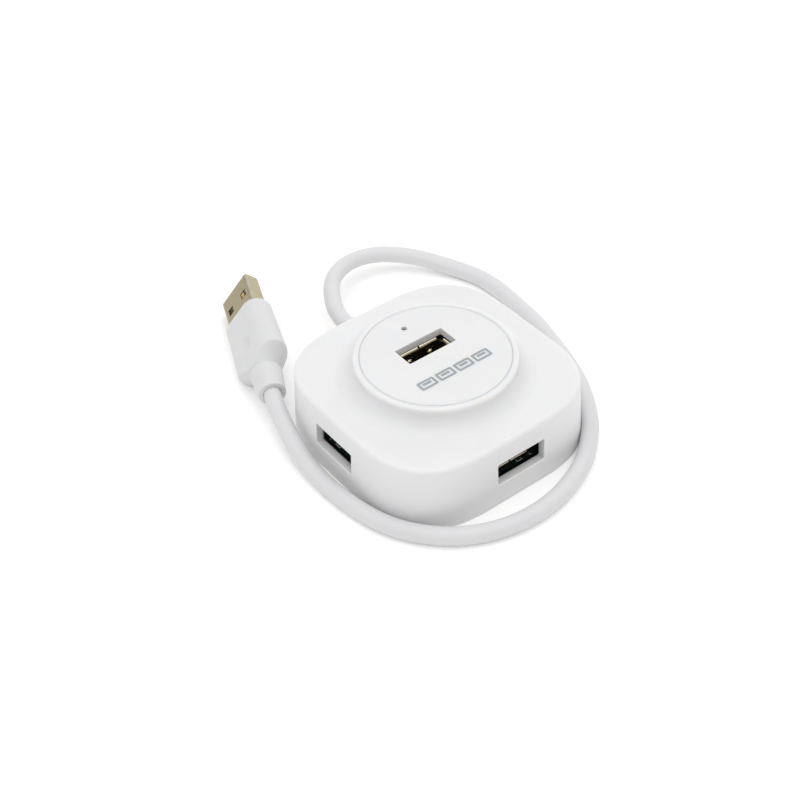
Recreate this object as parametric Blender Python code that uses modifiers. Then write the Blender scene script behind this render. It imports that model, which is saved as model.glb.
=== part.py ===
"""Four-port USB hub: a square two-part case with a raised round face, on a captive USB-A lead.

+X runs to the right along the front, +Y to the rear, where the lead leaves, and +Z is up.
The origin is on the resting surface, below the middle of the case. All sizes are in metres.
"""

import math

import bmesh
import bpy
from mathutils import Euler, Matrix, Vector

# Case
HALF_SIDE = 0.0300
CORNER_RADIUS = 0.0223
CORNER_EXPONENT = 2.6
CORNER_STEPS = 8
BODY_HEIGHT = 0.0183
FACE_HEIGHT = 0.0237
TOP_EDGE_ROUND = 0.0010
WALL = 0.0020
GAP = 0.0003
BASE_RIM = 0.0007
BASE_RIM_INSET = 0.00005
BASE_FLOOR = 0.0020

# Raised round face
FACE_RADIUS = 0.0202
FACE_EDGE_ROUND = 0.0008
FACE_FLARE = 0.0042
DISC_RADIUS = 0.0184
DISC_THICKNESS = 0.0010
FACE_POCKET_RADIUS = 0.0170
FACE_SKIN_UNDERSIDE = 0.0216
WINDOW_COLLAR = 0.0008
ROUND_STEPS = 40

# Ports
SIDE_WINDOW = (0.0143, 0.0062)
SIDE_WINDOW_HEIGHT = 0.0094
SIDE_PORT_OFFSET = 0.0014
TOP_WINDOW = (0.0142, 0.0061)
TOP_PORT_Y = 0.0040
LED_Y = 0.0125
LED_SIZE = (0.0016, 0.0010, 0.0007)
LED_HOLE_RADIUS = 0.0007
LIGHT_PIPE_RADIUS = (0.0011, 0.0015)
LIGHT_PIPE_SHOULDER = 0.0120

# Receptacle, in its own frame: the mouth looks along -Y and the board is below
JACK_WIDTH = 0.01314
JACK_HEIGHT = 0.00572
JACK_LENGTH = 0.0140
JACK_TAIL = 0.0012
TOP_JACK_LENGTH = 0.0144
TOP_JACK_TAIL = 0.0004
JACK_SHEET = 0.00031
JACK_SETBACK = 0.0040
TONGUE_SIZE = (0.0111, 0.00184)
TONGUE_TOP_GAP = 0.00066
TONGUE_SETBACK = 0.0021
TONGUE_BLOCK = (0.0119, 0.0030, 0.0021)
TONGUE_BLOCK_LIFT = 0.00005
CONTACT_WIDTH = 0.0010
CONTACT_SHEET = 0.00025
CONTACT_GAP = 0.00010
CONTACT_SETBACK = 0.0008
CONTACT_X = (-0.0035, -0.0010, 0.0010, 0.0035)

# Circuit board and what stands on it
BOARD_HALF = 0.0273
BOARD_BOTTOM = 0.0046
BOARD_TOP = 0.0062
SEAT = BOARD_TOP + GAP
GLAND_NOTCH = (0.0110, 0.0090, 0.0100)
CHIP_PLACE = (-0.0105, -0.0195)
CHIP_SIZE = (0.0064, 0.0039, 0.0014)
CHIP_LEG = (0.0003, 0.0060, 0.0004)
CHIP_LEG_COUNT = 5
CHIP_LEG_PITCH = 0.0013
CHIP_LIFT = 0.0002
CRYSTAL_PLACE = (0.0045, -0.0075)
CRYSTAL_SIZE = (0.0110, 0.0046, 0.0035)
CAPACITOR_PLACES = {"input_capacitor": (-0.0100, 0.0190), "output_capacitor": (0.0105, 0.0190)}
CAPACITOR_RADIUS = 0.0025
CAPACITOR_HEIGHT = 0.0055
CAPACITOR_EDGE = 0.0004

# Screws and their bosses
BOSS_OFFSET = 0.0185
BOSS_RADIUS = 0.0028
BOSS_FOOT = 0.0045
SCREW_HOLE_RADIUS = 0.00115
SCREW_HOLE_TOP = 0.0125
SCREW_HEAD_RADIUS = 0.0019
SCREW_HEAD = (0.0004, 0.0019)
SCREW_RECESS_DEPTH = 0.0022
SCREW_SHANK_RADIUS = 0.00085
SCREW_SHANK_TOP = 0.0105
DRIVE_SLOT = (0.0022, 0.0005, 0.0012)
POST_RADIUS = 0.0014
POSTS = ((-0.0225, -0.0110), (0.0225, -0.0110), (-0.0225, 0.0130), (0.0225, 0.0130))

# Lead
CORD_DIAMETER = 0.0045
CORD_EXIT_HEIGHT = 0.0090
GLAND_NECK_RADIUS = 0.0032
GLAND_FLANGE = (0.0045, 0.0020, 0.0028)
BOOT_RADIUS = (0.0041, 0.0029)
BOOT_END = 0.0370
WIRE_RADIUS = 0.00055
WIRE_PITCH = (0.0012, 0.0020)
WIRE_STEP = 0.0012
WIRE_RUN = (
    (0.0, 0.0000, 0.00),
    (0.0, 0.0012, 0.05),
    (0.5, 0.0028, 0.40),
    (1.0, 0.0042, 0.77),
    (1.0, 0.0060, 1.00),
)
CORD_STEP = 2.0 * CORD_DIAMETER
ON_SURFACE = CORD_DIAMETER / 2 + 0.00002
CORD_ROUTE = (
    (0.0000, BOOT_END + 2 * GAP, CORD_EXIT_HEIGHT),
    (0.0002, 0.0405, 0.0090),
    (0.0016, 0.0455, 0.0088),
    (0.0043, 0.0508, 0.0084),
    (0.0077, 0.0557, 0.0080),
    (0.0119, 0.0595, 0.0075),
    (0.0173, 0.0619, 0.0069),
    (0.0228, 0.0623, 0.0063),
    (0.0284, 0.0607, 0.0056),
    (0.0333, 0.0572, 0.0049),
    (0.0369, 0.0536, 0.0042),
    (0.0398, 0.0498, 0.0034),
    (0.0424, 0.0460, 0.0027),
    (0.0446, 0.0414, ON_SURFACE),
    (0.0458, 0.0368, ON_SURFACE),
    (0.0462, 0.0300, ON_SURFACE),
    (0.0456, 0.0231, ON_SURFACE),
    (0.0446, 0.0140, ON_SURFACE),
    (0.0424, 0.0045, ON_SURFACE),
    (0.0393, -0.0060, ON_SURFACE),
    (0.0357, -0.0145, ON_SURFACE),
    (0.0309, -0.0222, ON_SURFACE),
    (0.0259, -0.0280, ON_SURFACE),
    (0.0183, -0.0341, ON_SURFACE),
    (0.0094, -0.0380, ON_SURFACE),
    (0.0012, -0.0397, ON_SURFACE),
    (-0.0070, -0.0395, ON_SURFACE),
    (-0.0150, -0.0373, ON_SURFACE),
    (-0.0222, -0.0331, ON_SURFACE),
    (-0.0285, -0.0263, ON_SURFACE),
    (-0.0323, -0.0187, ON_SURFACE),
    (-0.0343, -0.0095, ON_SURFACE),
    (-0.0350, -0.0002, 0.0024),
    (-0.0348, 0.0072, 0.0032),
    (-0.0341, 0.0134, 0.0045),
    (-0.0330, 0.0188, 0.0059),
    (-0.0318, 0.0234, 0.0068),
    (-0.0308, 0.0263, 0.0071),
)

# Plug, in its own frame: +Y runs out of the shell, X is its width and Z its thickness
PLUG_PLACE = (-0.0176, 0.0591, 0.0072)
PLUG_HEADING = math.radians(-21.9)
PLUG_ROLL = math.radians(-51.8)
PLUG_PITCH = math.radians(0.0)
PLUG_WIDTH = 0.0120
PLUG_THICKNESS = 0.0045
PLUG_REACH = 0.01175
PLUG_TAIL = 0.0050
PLUG_SHEET = 0.0003
PLUG_WINDOW = (0.0022, 0.0024)
PLUG_WINDOW_X = 0.0031
PLUG_WINDOW_FROM_TIP = 0.0063
INSULATOR_THICKNESS = 0.0018
INSULATOR_SETBACK = 0.0006
GRIP_FRONT = -0.0008
GRIP_SIZE = (0.0154, 0.0210, 0.0084)
GRIP_ROUND = 0.0038
COLLAR_END = 0.0322
COLLAR_ROOT = 0.0180
COLLAR_RADIUS = (0.0042, 0.0036)


# Scene helpers

def clear_scene():
    for thing in list(bpy.data.objects):
        bpy.data.objects.remove(thing, do_unlink=True)


def new_collection(name):
    group = bpy.data.collections.new(name)
    bpy.context.scene.collection.children.link(group)
    return group


def finish_material(name, colour, roughness, metallic=0.0):
    made = bpy.data.materials.new(name)
    made.use_nodes = True
    shader = made.node_tree.nodes["Principled BSDF"]
    shader.inputs["Base Color"].default_value = (*colour, 1.0)
    shader.inputs["Roughness"].default_value = roughness
    shader.inputs["Metallic"].default_value = metallic
    return made


def add_object(name, data, finish=None):
    """A part goes in the hub's collection with its finish; a cutter has none."""
    made = bpy.data.objects.new(name, data)
    if finish is None:
        CUTTERS.objects.link(made)
        made.hide_render = True
        made.display_type = "WIRE"
    else:
        HUB.objects.link(made)
        data.materials.append(finish_material(name, *finish))
    return made


def add_mesh(name, bm, finish=None):
    mesh = bpy.data.meshes.new(name)
    bm.to_mesh(mesh)
    bm.free()
    return add_object(name, mesh, finish)


def box(name, size, middle, finish=None):
    bm = bmesh.new()
    bmesh.ops.create_cube(bm, size=1.0)
    bmesh.ops.scale(bm, vec=size, verts=bm.verts)
    bmesh.ops.translate(bm, vec=middle, verts=bm.verts)
    return add_mesh(name, bm, finish)


def round_bar(name, radius, low, high, x=0.0, y=0.0, top_radius=None, steps=24, finish=None):
    """An upright cylinder or cone from height low to height high."""
    bm = bmesh.new()
    bmesh.ops.create_cone(bm, cap_ends=True, segments=steps, radius1=radius,
                          radius2=radius if top_radius is None else top_radius, depth=high - low)
    bmesh.ops.translate(bm, vec=(x, y, (low + high) / 2), verts=bm.verts)
    return add_mesh(name, bm, finish)


def curve_to_mesh(curve_object):
    """The curve's evaluated shape as a welded mesh; the curve is removed."""
    bpy.context.view_layer.update()
    graph = bpy.context.evaluated_depsgraph_get()
    mesh = bpy.data.meshes.new_from_object(curve_object.evaluated_get(graph))
    bm = bmesh.new()
    bm.from_mesh(mesh)
    bmesh.ops.remove_doubles(bm, verts=bm.verts, dist=1e-6)
    bmesh.ops.transform(bm, matrix=curve_object.matrix_world, verts=bm.verts)
    bpy.data.objects.remove(curve_object, do_unlink=True)
    bpy.data.meshes.remove(mesh)
    return bm


def slab(name, outline, low, high, finish=None):
    """A closed flat outline in X and Y, extruded from height low to height high."""
    curve = bpy.data.curves.new(name, "CURVE")
    curve.dimensions = "2D"
    curve.fill_mode = "BOTH"
    curve.extrude = (high - low) / 2
    spline = curve.splines.new("POLY")
    spline.points.add(len(outline) - 1)
    for point, (x, y) in zip(spline.points, outline):
        point.co = (x, y, 0.0, 1.0)
    spline.use_cyclic_u = True
    drawn = bpy.data.objects.new(name + "_outline", curve)
    CUTTERS.objects.link(drawn)
    drawn.location.z = (low + high) / 2
    return add_mesh(name, curve_to_mesh(drawn), finish)


def turned(name, profile, steps=ROUND_STEPS, finish=None):
    """A profile of (radius, height) points, top to bottom, turned about Z."""
    bm = bmesh.new()
    points = [bm.verts.new((radius, 0.0, height)) for radius, height in profile]
    for first, second in zip(points, points[1:]):
        bm.edges.new((first, second))
    made = add_mesh(name, bm, finish)
    screw = made.modifiers.new("turn", "SCREW")
    screw.steps = steps
    screw.render_steps = steps
    screw.use_merge_vertices = True
    screw.merge_threshold = 1e-6
    return made


def tube(name, points, radius, resolution, finish):
    curve = bpy.data.curves.new(name, "CURVE")
    curve.dimensions = "3D"
    curve.bevel_depth = radius
    curve.bevel_resolution = resolution
    curve.use_fill_caps = True
    spline = curve.splines.new("POLY")
    spline.points.add(len(points) - 1)
    for point, place in zip(spline.points, points):
        point.co = (*place, 1.0)
    return add_object(name, curve, finish)


def everything():
    return set(HUB.objects) | set(CUTTERS.objects)


def hold_new(before, name):
    """Parents every part and cutter made since the snapshot to a new empty, so they move as one."""
    holder = bpy.data.objects.new(name, None)
    for thing in everything() - before:
        thing.parent = holder
    HUB.objects.link(holder)
    return holder


def boolean(target, other, operation="DIFFERENCE"):
    step = target.modifiers.new(operation.lower(), "BOOLEAN")
    step.operation = operation
    step.object = other
    step.solver = "EXACT"


def bevel(target, width, segments, angle=math.radians(40)):
    step = target.modifiers.new("bevel", "BEVEL")
    step.width = width
    step.segments = segments
    step.limit_method = "ANGLE"
    step.angle_limit = angle


# Outlines and profiles

def rounded_square(half, radius):
    """Corners follow a superellipse, which runs into the straight sides softly."""
    outline = []
    for corner_x, corner_y, start in ((1, 1, 0), (-1, 1, 90), (-1, -1, 180), (1, -1, 270)):
        for step in range(CORNER_STEPS + 1):
            angle = math.radians(start + 90 * step / CORNER_STEPS)
            reach_x = abs(math.cos(angle)) ** (2 / CORNER_EXPONENT)
            reach_y = abs(math.sin(angle)) ** (2 / CORNER_EXPONENT)
            outline.append((corner_x * (half - radius + radius * reach_x),
                            corner_y * (half - radius + radius * reach_y)))
    return outline


def case_outline(inset):
    return rounded_square(HALF_SIDE - inset, CORNER_RADIUS - inset)


def arc(middle_r, middle_z, radius, start, end, steps=4):
    """Profile points on an arc, its angles in degrees from the +radius direction."""
    points = []
    for step in range(steps + 1):
        angle = math.radians(start + (end - start) * step / steps)
        points.append((middle_r + radius * math.cos(angle), middle_z + radius * math.sin(angle)))
    return points


def face_flare(steps=6):
    """The concave sweep from the raised face's side down to the flat top, a quarter ellipse."""
    rise = FACE_HEIGHT - 2 * FACE_EDGE_ROUND - BODY_HEIGHT
    points = []
    for step in range(1, steps + 1):
        angle = math.radians(90 * step / steps)
        points.append((FACE_RADIUS + FACE_FLARE * (1 - math.cos(angle)),
                       BODY_HEIGHT + rise * (1 - math.sin(angle))))
    return points


def smooth_path(route, step):
    """Evenly spaced points on a Catmull-Rom curve through the route's points."""
    places = [Vector(place) for place in route]
    places = [2 * places[0] - places[1]] + places + [2 * places[-1] - places[-2]]
    fine = []
    for before, start, end, after in zip(places, places[1:], places[2:], places[3:]):
        for part in range(20):
            t = part / 20
            fine.append(0.5 * (2 * start + (end - before) * t
                               + (2 * before - 5 * start + 4 * end - after) * t * t
                               + (3 * start - before - 3 * end + after) * t * t * t))
    fine.append(places[-2])
    lengths = [0.0]
    for first, second in zip(fine, fine[1:]):
        lengths.append(lengths[-1] + (second - first).length)
    count = round(lengths[-1] / step)
    points, at = [], 0
    for index in range(count + 1):
        wanted = lengths[-1] * index / count
        while at < len(fine) - 2 and lengths[at + 1] < wanted:
            at += 1
        share = (wanted - lengths[at]) / (lengths[at + 1] - lengths[at])
        points.append(fine[at].lerp(fine[at + 1], share))
    return points


# Finishes: colour, roughness, metallic

WHITE_SHELL = ((0.87, 0.87, 0.87), 0.45)
WHITE_CORD = ((0.84, 0.84, 0.86), 0.5)
BLACK_PLASTIC = ((0.02, 0.02, 0.02), 0.5)
WHITE_NYLON = ((0.85, 0.85, 0.83), 0.5)
CLEAR_PLASTIC = ((0.8, 0.82, 0.82), 0.2)
BOARD = ((0.01, 0.04, 0.03), 0.45)
NICKEL = ((0.62, 0.56, 0.44), 0.3, 1.0)
GOLD = ((0.85, 0.62, 0.25), 0.3, 1.0)
STEEL = ((0.55, 0.55, 0.55), 0.35, 1.0)
ALUMINIUM = ((0.75, 0.75, 0.76), 0.35, 1.0)
WIRE_COLOURS = {
    "red": (0.6, 0.03, 0.02),
    "white": (0.85, 0.85, 0.85),
    "green": (0.03, 0.4, 0.08),
    "black": (0.02, 0.02, 0.02),
}


# Case

def side_ports():
    """Each side port's name, mouth position at the outer face, and turn about Z."""
    return (
        ("front", (SIDE_PORT_OFFSET, -HALF_SIDE), 0.0),
        ("right", (HALF_SIDE, SIDE_PORT_OFFSET), math.radians(90)),
        ("left", (-HALF_SIDE, SIDE_PORT_OFFSET), math.radians(-90)),
    )


def bosses():
    return [(x, y) for x in (-BOSS_OFFSET, BOSS_OFFSET) for y in (-BOSS_OFFSET, BOSS_OFFSET)]


def raised_face():
    """The round face and its flare, with a recess for the disc."""
    recess = DISC_THICKNESS + GAP
    profile = [
        (0.0, FACE_HEIGHT - recess),
        (DISC_RADIUS + GAP, FACE_HEIGHT - recess),
        (DISC_RADIUS + GAP, FACE_HEIGHT),
        *arc(FACE_RADIUS - FACE_EDGE_ROUND, FACE_HEIGHT - FACE_EDGE_ROUND, FACE_EDGE_ROUND, 90, 0),
        (FACE_RADIUS, FACE_HEIGHT - 2 * FACE_EDGE_ROUND),
        *face_flare(),
        (FACE_RADIUS + FACE_FLARE, BODY_HEIGHT - WALL / 2),
        (0.0, BODY_HEIGHT - WALL / 2),
    ]
    return turned("raised_face", profile)


def upper_shell():
    shell = slab("upper_shell", case_outline(0.0), BASE_RIM + GAP, BODY_HEIGHT, WHITE_SHELL)
    weight_top_edges(shell)
    edge = shell.modifiers.new("top_edge", "BEVEL")
    edge.limit_method = "WEIGHT"
    edge.width = TOP_EDGE_ROUND
    edge.segments = 3
    boolean(shell, raised_face(), "UNION")
    boolean(shell, slab("case_hollow", case_outline(WALL), -GAP, BODY_HEIGHT - WALL))
    boolean(shell, round_bar("face_hollow", FACE_POCKET_RADIUS, BODY_HEIGHT / 2, FACE_SKIN_UNDERSIDE,
                             steps=32))
    for number, (x, y) in enumerate(bosses(), 1):
        ceiling = BODY_HEIGHT - WALL / 2
        boolean(shell, round_bar(f"boss_{number}", BOSS_RADIUS, BOSS_FOOT, ceiling, x, y, steps=16),
                "UNION")
        boolean(shell, round_bar(f"pilot_hole_{number}", SCREW_HOLE_RADIUS, 0.0, SCREW_HOLE_TOP, x, y,
                                 steps=12))
    for port, (x, y), turn in side_ports():
        window = box(f"{port}_window", (SIDE_WINDOW[0], 3 * WALL, SIDE_WINDOW[1]),
                     (0.0, 0.0, SIDE_WINDOW_HEIGHT))
        window.location = (x, y, 0.0)
        window.rotation_euler.z = turn
        boolean(shell, window)
    cut_top_openings(shell, WINDOW_COLLAR + GAP)
    boolean(shell, lead_slot("lead_slot", GLAND_NECK_RADIUS + GAP, 0.0))


def weight_top_edges(target):
    """Marks the edges around the flat top for the bevel."""
    bm = bmesh.new()
    bm.from_mesh(target.data)
    weights = bm.edges.layers.float.new("bevel_weight_edge")
    for edge in bm.edges:
        sides = {round(face.normal.z) for face in edge.link_faces}
        if sides == {0, 1}:
            edge[weights] = 1.0
    bm.to_mesh(target.data)
    bm.free()


def top_window(name, margin):
    """An upright block through the raised face, larger than the port's window by a margin."""
    width, depth = TOP_WINDOW
    size = (width + 2 * margin, depth + 2 * margin, 3 * (FACE_HEIGHT - FACE_SKIN_UNDERSIDE))
    return box(name, size, (0.0, TOP_PORT_Y, FACE_HEIGHT))


def cut_top_openings(target, margin):
    """The window for the top port and the small hole for the light."""
    boolean(target, top_window(f"{target.name}_window", margin))
    boolean(target, round_bar(f"{target.name}_light_hole", LED_HOLE_RADIUS, BODY_HEIGHT, 2 * FACE_HEIGHT,
                              0.0, LED_Y, steps=16))


def lead_slot(name, half_width, low):
    """An upright slot through the rear wall with a round top, where the gland drops in."""
    outline = [(-half_width, low), (half_width, low)]
    outline += arc(0.0, CORD_EXIT_HEIGHT, half_width, 0, 180, 12)
    slot = slab(name, outline, -2 * WALL, 2 * WALL)
    slot.rotation_euler.x = math.radians(90)
    slot.location.y = HALF_SIDE
    return slot


def face_disc():
    """The disc set into the raised face; its collar lines the window down to the skin's underside."""
    disc = round_bar("face_disc", DISC_RADIUS, FACE_HEIGHT - DISC_THICKNESS, FACE_HEIGHT,
                     steps=ROUND_STEPS, finish=WHITE_SHELL)
    width, depth = TOP_WINDOW
    top = FACE_HEIGHT - DISC_THICKNESS / 2
    collar = box("window_collar", (width + 2 * WINDOW_COLLAR, depth + 2 * WINDOW_COLLAR,
                                   top - FACE_SKIN_UNDERSIDE),
                 (0.0, TOP_PORT_Y, (top + FACE_SKIN_UNDERSIDE) / 2))
    boolean(disc, collar, "UNION")
    cut_top_openings(disc, 0.0)


def base_plate():
    """The floor of the case: a rim under the shell's wall, a raised floor, pads and a rear tab."""
    plate = slab("base_plate", case_outline(BASE_RIM_INSET), 0.0, BASE_RIM, WHITE_SHELL)
    boolean(plate, slab("raised_floor", case_outline(WALL + GAP), BASE_RIM / 2, BASE_FLOOR), "UNION")
    for number, (x, y) in enumerate(bosses(), 1):
        boolean(plate, round_bar(f"pad_{number}", BOSS_RADIUS, BASE_FLOOR / 2, BOSS_FOOT - GAP, x, y,
                                 steps=16), "UNION")
        boolean(plate, round_bar(f"head_recess_{number}", SCREW_HEAD_RADIUS + GAP, -GAP,
                                 SCREW_RECESS_DEPTH, x, y, steps=16))
        boolean(plate, round_bar(f"screw_hole_{number}", SCREW_HOLE_RADIUS, SCREW_RECESS_DEPTH / 2,
                                 BOSS_FOOT, x, y, steps=12))
    for number, (x, y) in enumerate(POSTS, 1):
        boolean(plate, round_bar(f"post_{number}", POST_RADIUS, BASE_FLOOR / 2, BOARD_BOTTOM - GAP, x, y,
                                 steps=12), "UNION")
    boolean(plate, rear_block("rear_tab", WALL, 0.0, CORD_EXIT_HEIGHT - GLAND_NECK_RADIUS - GAP), "UNION")
    boolean(plate, rear_block("rear_tab_foot", 2 * WALL, 0.75 * WALL, BASE_FLOOR), "UNION")


def rear_block(name, depth, setback, top):
    """A block on the rim that fills the lead's slot from below, set back from the rear face."""
    rear = HALF_SIDE - BASE_RIM_INSET - setback
    low = BASE_RIM / 2
    return box(name, (2 * GLAND_NECK_RADIUS, depth, top - low), (0.0, rear - depth / 2, (top + low) / 2))


def case_screws():
    for number, (x, y) in enumerate(bosses(), 1):
        low, high = SCREW_HEAD
        screw = round_bar(f"case_screw_{number}", SCREW_HEAD_RADIUS, low, high, x, y, steps=16,
                          finish=STEEL)
        shank = round_bar(f"shank_{number}", SCREW_SHANK_RADIUS, high - GAP, SCREW_SHANK_TOP, x, y,
                          steps=10)
        boolean(screw, shank, "UNION")
        length, width, depth = DRIVE_SLOT
        boolean(screw, box(f"drive_a_{number}", (length, width, depth), (x, y, low)))
        boolean(screw, box(f"drive_b_{number}", (width, length, depth), (x, y, low)))


# Receptacles

def jack_shell(length, name):
    """The folded sheet-metal tube around a port, its mouth at the frame's origin plane."""
    middle = (0.0, length / 2, JACK_HEIGHT / 2)
    shell = box(name, (JACK_WIDTH, length, JACK_HEIGHT), middle, NICKEL)
    boolean(shell, box(name + "_bore", (JACK_WIDTH - 2 * JACK_SHEET, 2 * length,
                                        JACK_HEIGHT - 2 * JACK_SHEET), middle))


def tongue_underside():
    return JACK_HEIGHT - JACK_SHEET - TONGUE_TOP_GAP - TONGUE_SIZE[1]


def jack_tongue(length, name):
    """The insulator: a tongue in the mouth and the block that holds it at the back."""
    low = tongue_underside()
    width, thickness = TONGUE_SIZE
    block_width, block_length, block_height = TONGUE_BLOCK
    reach = length - TONGUE_SETBACK - block_length / 2
    tongue = box(name, (width, reach, thickness),
                 (0.0, TONGUE_SETBACK + reach / 2, low + thickness / 2), BLACK_PLASTIC)
    boolean(tongue, box(name + "_block", TONGUE_BLOCK,
                        (0.0, length - block_length / 2, low + TONGUE_BLOCK_LIFT + block_height / 2)),
            "UNION")


def jack_contact(length, tail, name, x):
    """A spring contact under the tongue, with its tail bent down behind the jack."""
    top = tongue_underside() - CONTACT_GAP
    low = top - CONTACT_SHEET
    front = TONGUE_SETBACK + CONTACT_SETBACK
    back = length + tail
    foot = CONTACT_GAP
    outline = [(front, low), (back - CONTACT_SHEET, low), (back - CONTACT_SHEET, foot),
               (back, foot), (back, top), (front, top)]
    contact = slab(name, outline, x - CONTACT_WIDTH / 2, x + CONTACT_WIDTH / 2, GOLD)
    turn_profile_upright(contact)


def turn_profile_upright(target):
    """A slab drawn in X and Y, extruded along Z, is stood up: drawn in Y and Z, extruded along X."""
    for vertex in target.data.vertices:
        x, y, z = vertex.co
        vertex.co = (z, x, y)


def receptacle(port, length, tail):
    """The parts of one port, held by an empty at the middle of its mouth's lower edge."""
    before = everything()
    jack_shell(length, port + "_receptacle")
    jack_tongue(length, port + "_tongue")
    for number, x in enumerate(CONTACT_X, 1):
        jack_contact(length, tail, f"{port}_contact_{number}", x)
    return hold_new(before, port + "_port")


def receptacles():
    for port, (x, y), turn in side_ports():
        holder = receptacle(port, JACK_LENGTH, JACK_TAIL)
        inward = Vector((-math.sin(turn), math.cos(turn), 0.0))
        holder.location = Vector((x, y, SEAT)) + JACK_SETBACK * inward
        holder.rotation_euler.z = turn
    holder = receptacle("top", TOP_JACK_LENGTH, TOP_JACK_TAIL)
    holder.location = (0.0, TOP_PORT_Y + JACK_HEIGHT / 2, FACE_SKIN_UNDERSIDE - GAP)
    holder.rotation_euler = (math.radians(-90), 0.0, math.radians(180))


# Board

def main_board():
    board = slab("main_board", rounded_square(BOARD_HALF, CORNER_RADIUS - HALF_SIDE + BOARD_HALF),
                 BOARD_BOTTOM, BOARD_TOP, BOARD)
    for number, (x, y) in enumerate(bosses(), 1):
        boolean(board, round_bar(f"board_hole_{number}", BOSS_RADIUS + GAP, 0.0, 2 * BOARD_TOP, x, y,
                                 steps=16))
    boolean(board, box("gland_notch", GLAND_NOTCH, (0.0, HALF_SIDE - WALL / 2, BOARD_TOP)))


def hub_chip():
    """A small-outline package with a row of legs along each long side."""
    x, y = CHIP_PLACE
    chip = box("hub_chip", CHIP_SIZE, (x, y, SEAT + CHIP_LIFT + CHIP_SIZE[2] / 2), BLACK_PLASTIC)
    first = x - CHIP_LEG_PITCH * (CHIP_LEG_COUNT - 1) / 2
    legs = box("chip_legs", CHIP_LEG, (first, y, SEAT + GAP))
    row = legs.modifiers.new("row", "ARRAY")
    row.count = CHIP_LEG_COUNT
    row.use_relative_offset = False
    row.use_constant_offset = True
    row.constant_offset_displace = (CHIP_LEG_PITCH, 0.0, 0.0)
    boolean(chip, legs, "UNION")


def crystal():
    length, width, height = CRYSTAL_SIZE
    end_x, radius = (length - width) / 2, width / 2
    outline = arc(end_x, 0.0, radius, -90, 90, 6) + arc(-end_x, 0.0, radius, 90, 270, 6)
    can = slab("crystal", outline, SEAT, SEAT + height, ALUMINIUM)
    can.location = (*CRYSTAL_PLACE, 0.0)


def capacitors():
    """Aluminium cans with a groove rolled into the foot."""
    radius, top, edge = CAPACITOR_RADIUS, SEAT + CAPACITOR_HEIGHT, CAPACITOR_EDGE
    profile = [
        (0.0, top),
        (radius - edge, top),
        (radius, top - edge),
        (radius, SEAT + 3 * edge),
        (radius - edge, SEAT + 2 * edge),
        (radius, SEAT + edge),
        (radius, SEAT),
        (0.0, SEAT),
    ]
    for name, (x, y) in CAPACITOR_PLACES.items():
        turned(name, profile, steps=20, finish=ALUMINIUM).location = (x, y, 0.0)


def status_light():
    box("status_led", LED_SIZE, (0.0, LED_Y, SEAT + LED_SIZE[2] / 2), CLEAR_PLASTIC)
    top, foot = FACE_SKIN_UNDERSIDE - GAP, SEAT + LED_SIZE[2] + GAP
    narrow, wide = LIGHT_PIPE_RADIUS
    profile = [
        (0.0, top),
        (narrow, top),
        (narrow, LIGHT_PIPE_SHOULDER),
        (wide, LIGHT_PIPE_SHOULDER - (wide - narrow)),
        (wide, foot),
        (0.0, foot),
    ]
    turned("light_pipe", profile, steps=16, finish=CLEAR_PLASTIC).location.y = LED_Y


# Lead

def cable_gland():
    """The moulded boot: a flange behind the rear wall, a neck in the slot and a tapered tail."""
    inner_face, outer_face = HALF_SIDE - WALL - GAP, HALF_SIDE + GAP
    root, tip = BOOT_RADIUS
    flange, thickness, depth = GLAND_FLANGE
    profile = [
        (0.0, BOOT_END),
        (tip, BOOT_END),
        (root, outer_face + thickness / 2),
        (root, outer_face),
        (GLAND_NECK_RADIUS, outer_face),
        (GLAND_NECK_RADIUS, inner_face),
        (flange, inner_face),
        (flange, inner_face - thickness),
        (depth, inner_face - depth),
        (0.0, inner_face - depth),
    ]
    gland = turned("cable_gland", profile, steps=24, finish=WHITE_CORD)
    gland.rotation_euler.x = math.radians(-90)
    gland.location.z = CORD_EXIT_HEIGHT


def inner_wires():
    """Four wires from the gland down to the board, spreading to its pads."""
    start = Vector((0.0, HALF_SIDE - WALL - 2 * GAP - GLAND_FLANGE[2], CORD_EXIT_HEIGHT))
    drop = CORD_EXIT_HEIGHT - SEAT - WIRE_RADIUS
    near, far = WIRE_PITCH
    for number, (colour, shade) in enumerate(WIRE_COLOURS.items()):
        place = number - (len(WIRE_COLOURS) - 1) / 2
        route = [start + Vector((place * (near + (far - near) * across), -back, -drop * down))
                 for across, back, down in WIRE_RUN]
        tube(f"wire_{colour}", smooth_path(route, WIRE_STEP), WIRE_RADIUS, 2, (shade, 0.5))


def cord():
    path = smooth_path((*CORD_ROUTE, collar_mouth()), CORD_STEP)
    tube("cord", path, CORD_DIAMETER / 2, 3, WHITE_CORD)


# Plug

def plug_place():
    return Matrix.LocRotScale(Vector(PLUG_PLACE), Euler((PLUG_PITCH, PLUG_ROLL, PLUG_HEADING)), None)


def collar_mouth():
    """Where the cord meets the plug's collar, just short of its end face."""
    return tuple(plug_place() @ Vector((0.0, -COLLAR_END - 2 * GAP, 0.0)))


def plug_shell():
    middle_y = (PLUG_REACH - PLUG_TAIL) / 2
    length = PLUG_REACH + PLUG_TAIL
    shell = box("plug_shell", (PLUG_WIDTH, length, PLUG_THICKNESS), (0.0, middle_y, 0.0), NICKEL)
    boolean(shell, box("plug_shell_bore", (PLUG_WIDTH - 2 * PLUG_SHEET, 2 * length,
                                           PLUG_THICKNESS - 2 * PLUG_SHEET), (0.0, middle_y, 0.0)))
    window_y = PLUG_REACH - PLUG_WINDOW_FROM_TIP
    for side, x in (("left", -PLUG_WINDOW_X), ("right", PLUG_WINDOW_X)):
        boolean(shell, box(f"plug_window_{side}", (*PLUG_WINDOW, 2 * PLUG_THICKNESS), (x, window_y, 0.0)))


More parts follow.
